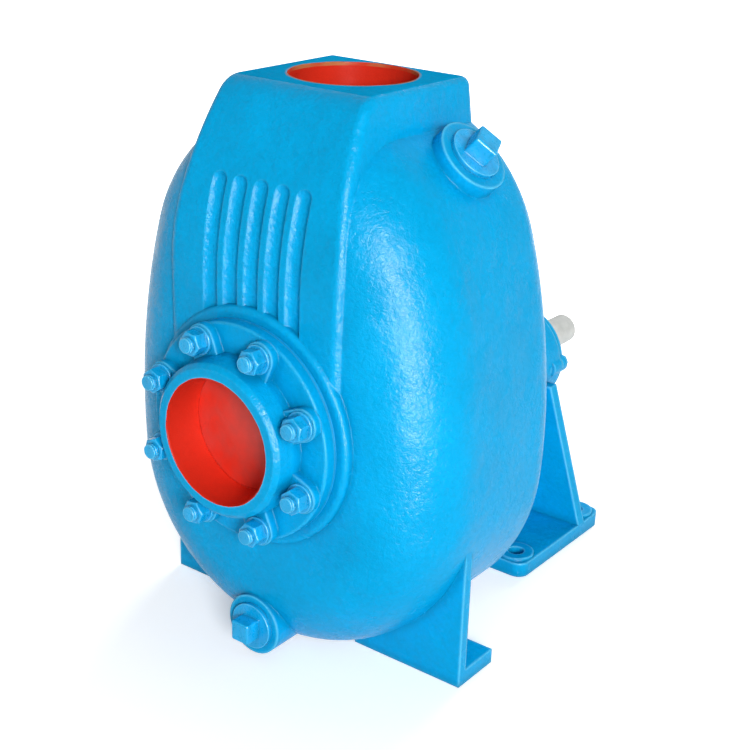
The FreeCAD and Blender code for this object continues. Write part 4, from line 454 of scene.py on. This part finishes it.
def plated_steel(name, colour, roughness=0.28):
    """Plated or polished steel with cloudy plating and fine scratches."""
    material, tree, shader = start_material(name)
    place = object_place(tree)
    cloud = noise(tree, place, 85.0, 3.0, 0.6)
    scratch = noise(tree, along(tree, "MULTIPLY", place, (900.0, 160.0, 160.0)), 1.0, 2.0, 0.7)
    base = mottle(tree, stretch(tree, cloud, 0.3, 0.7), colour, 0.82, 1.08)
    gloss = stretch(tree, scratch, 0.3, 0.7, roughness, roughness + 0.12)
    link_looks(tree, shader, base, gloss, bump(tree, scratch, 0.00002, soft_edges(tree, 0.0005)))
    shader.inputs["Metallic"].default_value = 1.0
    return material


def moulded_rubber(name, colour, roughness=0.62):
    """Rubber with a matt bloom and mould texture."""
    material, tree, shader = start_material(name)
    place = object_place(tree)
    bloom = noise(tree, place, 60.0, 3.0, 0.6)
    skin = noise(tree, place, 900.0, 2.0, 0.5)
    pale = tuple(0.82 * channel + 0.012 for channel in colour[:3]) + (1.0,)
    base = blend_colours(tree, stretch(tree, bloom, 0.35, 0.7), shade(colour, 1.0), pale)
    gloss = stretch(tree, bloom, 0.3, 0.7, roughness - 0.1, roughness + 0.08)
    link_looks(tree, shader, base, gloss, bump(tree, skin, 0.00005, soft_edges(tree, 0.0006)))
    return material


def pressed_fibre(name, colour):
    """Gasket sheet: grey fibre with pale flecks."""
    material, tree, shader = start_material(name)
    place = object_place(tree)
    fleck = noise(tree, place, 1400.0, 4.0, 0.7, 1.2)
    base = mottle(tree, stretch(tree, fleck, 0.42, 0.62), colour, 0.5, 1.5)
    tree.links.new(base, shader.inputs["Base Color"])
    shader.inputs["Roughness"].default_value = 0.82
    tree.links.new(bump(tree, fleck, 0.00006), shader.inputs["Normal"])
    return material


def lapped_ring(name, colour, roughness):
    """Ceramic or carbon ring, lapped smooth, with a faint speckle."""
    material, tree, shader = start_material(name)
    place = object_place(tree)
    speckle = noise(tree, place, 1100.0, 3.0, 0.6)
    base = mottle(tree, stretch(tree, speckle, 0.3, 0.7), colour, 0.9, 1.08)
    gloss = stretch(tree, speckle, 0.3, 0.7, roughness, roughness + 0.08)
    link_looks(tree, shader, base, gloss, bump(tree, speckle, 0.00001, soft_edges(tree, 0.0004)))
    return material


def dress(material, *names):
    """Give CAD nodes a material."""
    for name in names:
        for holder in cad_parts[name].material_slots:
            holder.material = material


# One operator for each group of pieces

class PUMP_OT_castings(Operator):
    """Paint the casing, the suction flange and the bearing frame with its cap"""

    bl_idname = "pump.castings"
    bl_label = "Castings"

    def execute(self, context):
        paint = context.scene.pump_paint
        casing = enamel("casing_enamel", paint, 1.0, casing_ports, discharge_lip, discharge_face)
        dress(casing, "pump_casing")
        dress(enamel("flange_enamel", paint, 0.8, suction_bore), "suction_flange")
        dress(enamel("frame_enamel", paint, 0.85), "bearing_frame", "bearing_cap")
        iron = context.scene.pump_metal.iron
        plate = painted_rim("seal_plate_iron", paint, iron, SHAFT_HEIGHT, SEAL_PLATE_BARE_RADIUS)
        dress(plate, "seal_plate")
        return {"FINISHED"}


class PUMP_OT_fasteners(Operator):
    """Paint the studs, washers, nuts, bolts and plugs"""

    bl_idname = "pump.fasteners"
    bl_label = "Fasteners and plugs"

    def execute(self, context):
        coat = brushed_enamel("fastener_enamel", context.scene.pump_paint)
        dress(coat, "flange_studs", "flange_washers", "flange_nuts", "frame_bolts", "bearing_cap_bolts",
              "fill_plug", "drain_plug")
        return {"FINISHED"}


class PUMP_OT_check_valve(Operator):
    """Colour the rubber flap and the steel pieces that carry it"""

    bl_idname = "pump.check_valve"
    bl_label = "Check valve"

    def execute(self, context):
        primer = context.scene.pump_paint.primer
        dress(moulded_rubber("flap_rubber", shade(primer, 1.04), 0.42), "valve_disc")
        metal = plated_steel("valve_steel", context.scene.pump_metal.plating)
        dress(metal, "valve_backing_plate", "valve_arm", "valve_bolt", "valve_hinge_pin")
        return {"FINISHED"}


class PUMP_OT_impeller(Operator):
    """Finish the impeller, the wear plate and what holds them"""

    bl_idname = "pump.impeller"
    bl_label = "Impeller and wear plate"

    def execute(self, context):
        metal = context.scene.pump_metal
        dress(raw_iron("bare_iron", metal), "impeller", "wear_plate")
        dress(plated_steel("screw_steel", metal.plating), "wear_plate_screws", "impeller_key",
              "impeller_washer", "impeller_bolt")
        return {"FINISHED"}


class PUMP_OT_shaft(Operator):
    """Finish the shaft and its sleeve"""

    bl_idname = "pump.shaft"
    bl_label = "Shaft"

    def execute(self, context):
        metal = context.scene.pump_metal
        dress(turned_steel("shaft_steel", metal.shaft, 0.34, 1.0, 0.15), "shaft")
        dress(turned_steel("sleeve_bronze", metal.bronze, 0.24, 0.6), "shaft_sleeve")
        return {"FINISHED"}


class PUMP_OT_shaft_seal(Operator):
    """Finish the pieces of the shaft seal"""

    bl_idname = "pump.shaft_seal"
    bl_label = "Shaft seal"

    def execute(self, context):
        metal = context.scene.pump_metal
        dress(lapped_ring("seal_ceramic", (0.75, 0.73, 0.67), 0.22), "seal_seat")
        dress(lapped_ring("seal_carbon", (0.035, 0.035, 0.04), 0.34), "seal_face")
        dress(moulded_rubber("seal_rubber", (0.018, 0.018, 0.019)), "seal_seat_cup", "seal_bellows")
        dress(plated_steel("spring_steel", metal.shaft, 0.22), "seal_spring", "seal_retainer")
        return {"FINISHED"}


class PUMP_OT_bearings(Operator):
    """Finish the ball bearings, the lip seals, the slinger and the retaining ring"""

    bl_idname = "pump.bearings"
    bl_label = "Bearings"

    def execute(self, context):
        metal = context.scene.pump_metal
        races = plated_steel("race_steel", (0.66, 0.66, 0.68), 0.12)
        cages = turned_steel("cage_bronze", metal.bronze, 0.3, 0.4)
        for where in ("inboard", "outboard"):
            dress(races, where + "_outer_race", where + "_inner_race", where + "_balls")
            dress(cages, where + "_cage")
        dress(moulded_rubber("lip_rubber", (0.016, 0.016, 0.017), 0.5), "inboard_lip_seal",
              "outboard_lip_seal", "water_slinger")
        dress(plated_steel("ring_steel", metal.shaft, 0.34), "retaining_ring")
        return {"FINISHED"}


class PUMP_OT_gaskets(Operator):
    """Finish the flat gaskets"""

    bl_idname = "pump.gaskets"
    bl_label = "Gaskets"

    def execute(self, context):
        paint = context.scene.pump_paint
        fibre = (0.09, 0.09, 0.085)
        dress(pressed_fibre("gasket_fibre", fibre), "bearing_cap_gasket")
        suction = painted_rim("suction_fibre", paint, fibre, SUCTION_HEIGHT, GASKET_BARE_RADIUS)
        dress(suction, "suction_gasket")
        plate = painted_rim("seal_plate_fibre", paint, fibre, SHAFT_HEIGHT, SEAL_PLATE_BARE_RADIUS)
        dress(plate, "seal_plate_ring")
        return {"FINISHED"}


# The thread beyond the suction nuts, in Geometry Nodes

def thread_tree():
    """Spirals on a circle, all along the suction axis."""
    tree = bpy.data.node_groups.new("stud_thread", "GeometryNodeTree")
    tree.is_modifier = True
    lengths = ("Turns", "Length", "Crest Radius", "Ridge Radius", "Circle Radius", "First Angle", "Start",
               "Axis Height")
    for name in lengths:
        tree.interface.new_socket(name=name, in_out="INPUT", socket_type="NodeSocketFloat")
    tree.interface.new_socket(name="Count", in_out="INPUT", socket_type="NodeSocketInt")
    tree.interface.new_socket(name="Material", in_out="INPUT", socket_type="NodeSocketMaterial")
    tree.interface.new_socket(name="Geometry", in_out="OUTPUT", socket_type="NodeSocketGeometry")
    given = add_node(tree, "NodeGroupInput")
    spiral = add_node(tree, "GeometryNodeCurveSpiral", {
        "Resolution": 20, "Rotations": given.outputs["Turns"], "Height": given.outputs["Length"],
        "Start Radius": given.outputs["Crest Radius"], "End Radius": given.outputs["Crest Radius"]})
    ridge = add_node(tree, "GeometryNodeCurvePrimitiveCircle",
                     {"Resolution": 8, "Radius": given.outputs["Ridge Radius"]}, mode="RADIUS")
    thread = add_node(tree, "GeometryNodeCurveToMesh", {
        "Curve": spiral.outputs[0], "Profile Curve": ridge.outputs[0], "Fill Caps": True})
    lift = add_node(tree, "ShaderNodeCombineXYZ", {"Z": given.outputs["Start"]})
    lifted = add_node(tree, "GeometryNodeTransform", {"Geometry": thread.outputs[0],
                                                      "Translation": lift.outputs[0]})
    spots = add_node(tree, "GeometryNodeMeshCircle", {"Vertices": given.outputs["Count"],
                                                      "Radius": given.outputs["Circle Radius"]})
    swing = add_node(tree, "ShaderNodeCombineXYZ", {"Z": given.outputs["First Angle"]})
    swung = add_node(tree, "GeometryNodeTransform", {"Geometry": spots.outputs[0],
                                                     "Rotation": swing.outputs[0]})
    copies = add_node(tree, "GeometryNodeInstanceOnPoints", {"Points": swung.outputs[0],
                                                             "Instance": lifted.outputs[0]})
    real = add_node(tree, "GeometryNodeRealizeInstances", {"Geometry": copies.outputs[0]})
    up = add_node(tree, "ShaderNodeCombineXYZ", {"Z": given.outputs["Axis Height"]})
    facing = add_node(tree, "GeometryNodeTransform", {
        "Geometry": real.outputs[0], "Translation": up.outputs[0],
        "Rotation": (math.radians(90), 0.0, 0.0)})
    coated = add_node(tree, "GeometryNodeSetMaterial", {"Geometry": facing.outputs[0],
                                                        "Material": given.outputs["Material"]})
    result = add_node(tree, "NodeGroupOutput")
    tree.links.new(coated.outputs[0], result.inputs[0])
    return tree


class PUMP_OT_stud_threads(Operator):
    """Wind the thread that shows beyond each suction nut"""

    bl_idname = "pump.stud_threads"
    bl_label = "Stud threads"

    def execute(self, context):
        settings = context.scene.pump_thread
        tree = thread_tree()
        maker = bpy.data.objects.new("stud_thread_maker", bpy.data.meshes.new("stud_thread_maker"))
        context.scene.collection.objects.link(maker)
        modifier = maker.modifiers.new("stud_thread", "NODES")
        modifier.node_group = tree
        inset = 1.2 * settings.ridge_radius
        length = STUD_END - NUT_FACE - 2 * inset
        values = {
            "Turns": length / settings.pitch,
            "Length": length,
            "Crest Radius": settings.crest_radius,
            "Ridge Radius": settings.ridge_radius,
            "Circle Radius": settings.circle_radius,
            "Count": settings.count,
            "First Angle": settings.first_angle,
            "Start": NUT_FACE + inset,
            "Axis Height": SUCTION_HEIGHT,
            "Material": bpy.data.materials["fastener_enamel"],
        }
        for item in tree.interface.items_tree:
            if item.in_out == "INPUT":
                modifier[item.identifier] = values[item.name]
        context.view_layer.update()
        seen = context.evaluated_depsgraph_get()
        mesh = bpy.data.meshes.new_from_object(maker.evaluated_get(seen), depsgraph=seen)
        mesh.name = "stud_threads"
        maker.modifiers.remove(modifier)
        bpy.data.objects.remove(maker)
        if not mesh.polygons:
            raise RuntimeError("the stud threads came out empty")
        for face in mesh.polygons:
            face.use_smooth = True
        piece = bpy.data.objects.new("stud_threads", mesh)
        context.scene.collection.objects.link(piece)
        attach(piece, "housing")
        return {"FINISHED"}


# Floor, light and camera

PUMP_MIDDLE = (0.0, -0.05, 0.26)
LOW_GLEAM_SHARE = 0.35


def aim(item, place, target):
    """Stand a light at a place and turn it to a target."""
    item.location = place
    item.rotation_euler = (Vector(target) - Vector(place)).to_track_quat("-Z", "Y").to_euler()


def softbox(context, name, power, place, size, lights=True, mirrored=True):
    """An oblong lamp that points at the pump. It lights surfaces, is mirrored in them, or both."""
    lamp = bpy.data.lights.new(name, "AREA")
    lamp.shape = "RECTANGLE"
    lamp.size, lamp.size_y = size
    lamp.energy = power
    item = bpy.data.objects.new(name, lamp)
    item.visible_diffuse = lights
    item.visible_glossy = mirrored
    context.scene.collection.objects.link(item)
    aim(item, place, PUMP_MIDDLE)


def seen_directly(tree):
    """One for rays from the camera and for those that a shiny or clear surface sends on."""
    path = add_node(tree, "ShaderNodeLightPath")
    mirror = number(tree, "MAXIMUM", path.outputs["Is Glossy Ray"], path.outputs["Is Transmission Ray"])
    return number(tree, "MAXIMUM", path.outputs["Is Camera Ray"], mirror)


def studio_floor(context, colour):
    """A pale glowing floor, dimmer near the pump: a painted shadow that also lets the pump's real shadow
    show.
    """
    half, below = 7.0, 0.0003
    near, far = 0.28, 0.80
    faint, strong = 0.43, 0.86
    mesh = bpy.data.meshes.new("studio_floor")
    mesh.from_pydata([(-half, -half, 0), (half, -half, 0), (half, half, 0), (-half, half, 0)], [],
                     [(0, 1, 2, 3)])
    mesh.transform(Matrix.Translation((0, 0, -below)))
    floor = bpy.data.objects.new("studio_floor", mesh)
    context.scene.collection.objects.link(floor)
    material, tree, shader = start_material("floor_paper")
    tree.nodes.remove(shader)
    paper = noise(tree, object_place(tree), 30.0, 3.0, 0.5)
    tint = blend_colours(tree, paper, shade(colour, 0.985), shade(colour, 1.01))
    matt = add_node(tree, "ShaderNodeBsdfDiffuse", {"Color": tint})
    pale = add_node(tree, "ShaderNodeBsdfDiffuse", {"Color": (0.90, 0.90, 0.90, 1.0)})
    reach = along(tree, "LENGTH", object_place(tree))
    # Painted shadow: the glow is faint near the pump and strong far from it
    glow_with_painted_shadow = stretch(tree, reach, near, far, faint, strong)
    glow = add_node(tree, "ShaderNodeEmission", {"Color": (1.0, 1.0, 1.0, 1.0), "Strength": glow_with_painted_shadow})
    bright = add_node(tree, "ShaderNodeAddShader", {0: pale.outputs[0], 1: glow.outputs[0]})
    mixed = add_node(tree, "ShaderNodeMixShader", {0: seen_directly(tree), 1: matt.outputs[0],
                                                   2: bright.outputs[0]})
    output = next(node for node in tree.nodes if node.type == "OUTPUT_MATERIAL")
    tree.links.new(mixed.outputs[0], output.inputs["Surface"])
    mesh.materials.append(material)


def studio_world(context, ambient):
    """White where it is seen, soft grey light for everything else."""
    world = bpy.data.worlds.new("studio")
    context.scene.world = world
    world.use_nodes = True
    tree = world.node_tree
    backdrop = next(node for node in tree.nodes if node.type == "BACKGROUND")
    backdrop.inputs["Color"].default_value = (1.0, 1.0, 1.0, 1.0)
    tree.links.new(blend_numbers(tree, seen_directly(tree), ambient, 1.0), backdrop.inputs["Strength"])


def studio_camera(context, lens):
    """A camera that looks down a little at the pump's right front corner, slightly tilted."""
    place = Vector((0.7315, -1.0563, 0.7235))
    yaw, pitch, roll = math.radians(36.56), math.radians(22.11), math.radians(1.82)
    ahead = Vector((-math.sin(yaw) * math.cos(pitch), math.cos(yaw) * math.cos(pitch), -math.sin(pitch)))
    level = Vector((math.cos(yaw), math.sin(yaw), 0.0))
    upright = level.cross(ahead)
    across = math.cos(roll) * level + math.sin(roll) * upright
    upward = math.cos(roll) * upright - math.sin(roll) * level
    camera = bpy.data.objects.new("camera", bpy.data.cameras.new("camera"))
    camera.data.lens = lens
    camera.data.sensor_width = 36.0
    camera.data.clip_end = 60.0
    turned = Matrix((across, upward, -ahead)).transposed().to_4x4()
    camera.matrix_world = Matrix.Translation(place) @ turned
    context.scene.collection.objects.link(camera)
    context.scene.camera = camera


class PUMP_OT_stage(Operator):
    """Lay the floor, hang the lights and set the camera"""

    bl_idname = "pump.stage"
    bl_label = "Stage"

    def execute(self, context):
        stage = context.scene.pump_stage
        studio_floor(context, stage.floor)
        studio_world(context, stage.ambient)
        low_power = LOW_GLEAM_SHARE * stage.gleam_power
        softbox(context, "key_light", stage.key_power, (3.00, -2.68, 1.60), (1.0, 1.0))
        softbox(context, "high_gleam", stage.gleam_power, (1.70, -1.86, 0.98), (0.3, 0.3), lights=False)
        softbox(context, "low_gleam", low_power, (1.15, -0.95, 0.10), (0.26, 0.26), lights=False)
        softbox(context, "back_light", stage.back_power, (-0.6, 2.9, 1.6), (1.6, 1.2), mirrored=False)
        studio_camera(context, stage.lens)
        context.scene.view_settings.view_transform = "Standard"
        return {"FINISHED"}


class PUMP_PT_panel(Panel):
    """The pump's sizes, colours and pieces"""

    bl_idname = "PUMP_PT_panel"
    bl_label = "Self-priming pump"
    bl_space_type = "VIEW_3D"
    bl_region_type = "UI"
    bl_category = "Pump"

    def draw(self, context):
        layout = self.layout
        scene = context.scene
        for settings in (scene.pump_paint, scene.pump_metal, scene.pump_thread, scene.pump_stage):
            box = layout.box()
            for name in settings.__annotations__:
                box.prop(settings, name)
        for operator in OPERATORS:
            layout.operator(operator.bl_idname)


SETTINGS = (
    ("pump_paint", PaintSettings),
    ("pump_metal", MetalSettings),
    ("pump_thread", ThreadSettings),
    ("pump_stage", StageSettings),
)
OPERATORS = (
    PUMP_OT_castings,
    PUMP_OT_fasteners,
    PUMP_OT_check_valve,
    PUMP_OT_impeller,
    PUMP_OT_shaft,
    PUMP_OT_shaft_seal,
    PUMP_OT_bearings,
    PUMP_OT_gaskets,
    PUMP_OT_stud_threads,
    PUMP_OT_stage,
)


def register():
    for name, kind in SETTINGS:
        bpy.utils.register_class(kind)
        setattr(bpy.types.Scene, name, PointerProperty(type=kind))
    for kind in OPERATORS + (PUMP_PT_panel,):
        bpy.utils.register_class(kind)


def unregister():
    for kind in reversed(OPERATORS + (PUMP_PT_panel,)):
        bpy.utils.unregister_class(kind)
    for name, kind in reversed(SETTINGS):
        delattr(bpy.types.Scene, name)
        bpy.utils.unregister_class(kind)


def main():
    register()
    bpy.ops.pump.castings()
    bpy.ops.pump.fasteners()
    bpy.ops.pump.check_valve()
    bpy.ops.pump.impeller()
    bpy.ops.pump.shaft()
    bpy.ops.pump.shaft_seal()
    bpy.ops.pump.bearings()
    bpy.ops.pump.gaskets()
    bpy.ops.pump.stud_threads()
    bpy.ops.pump.stage()


if __name__ == "__main__":
    main()
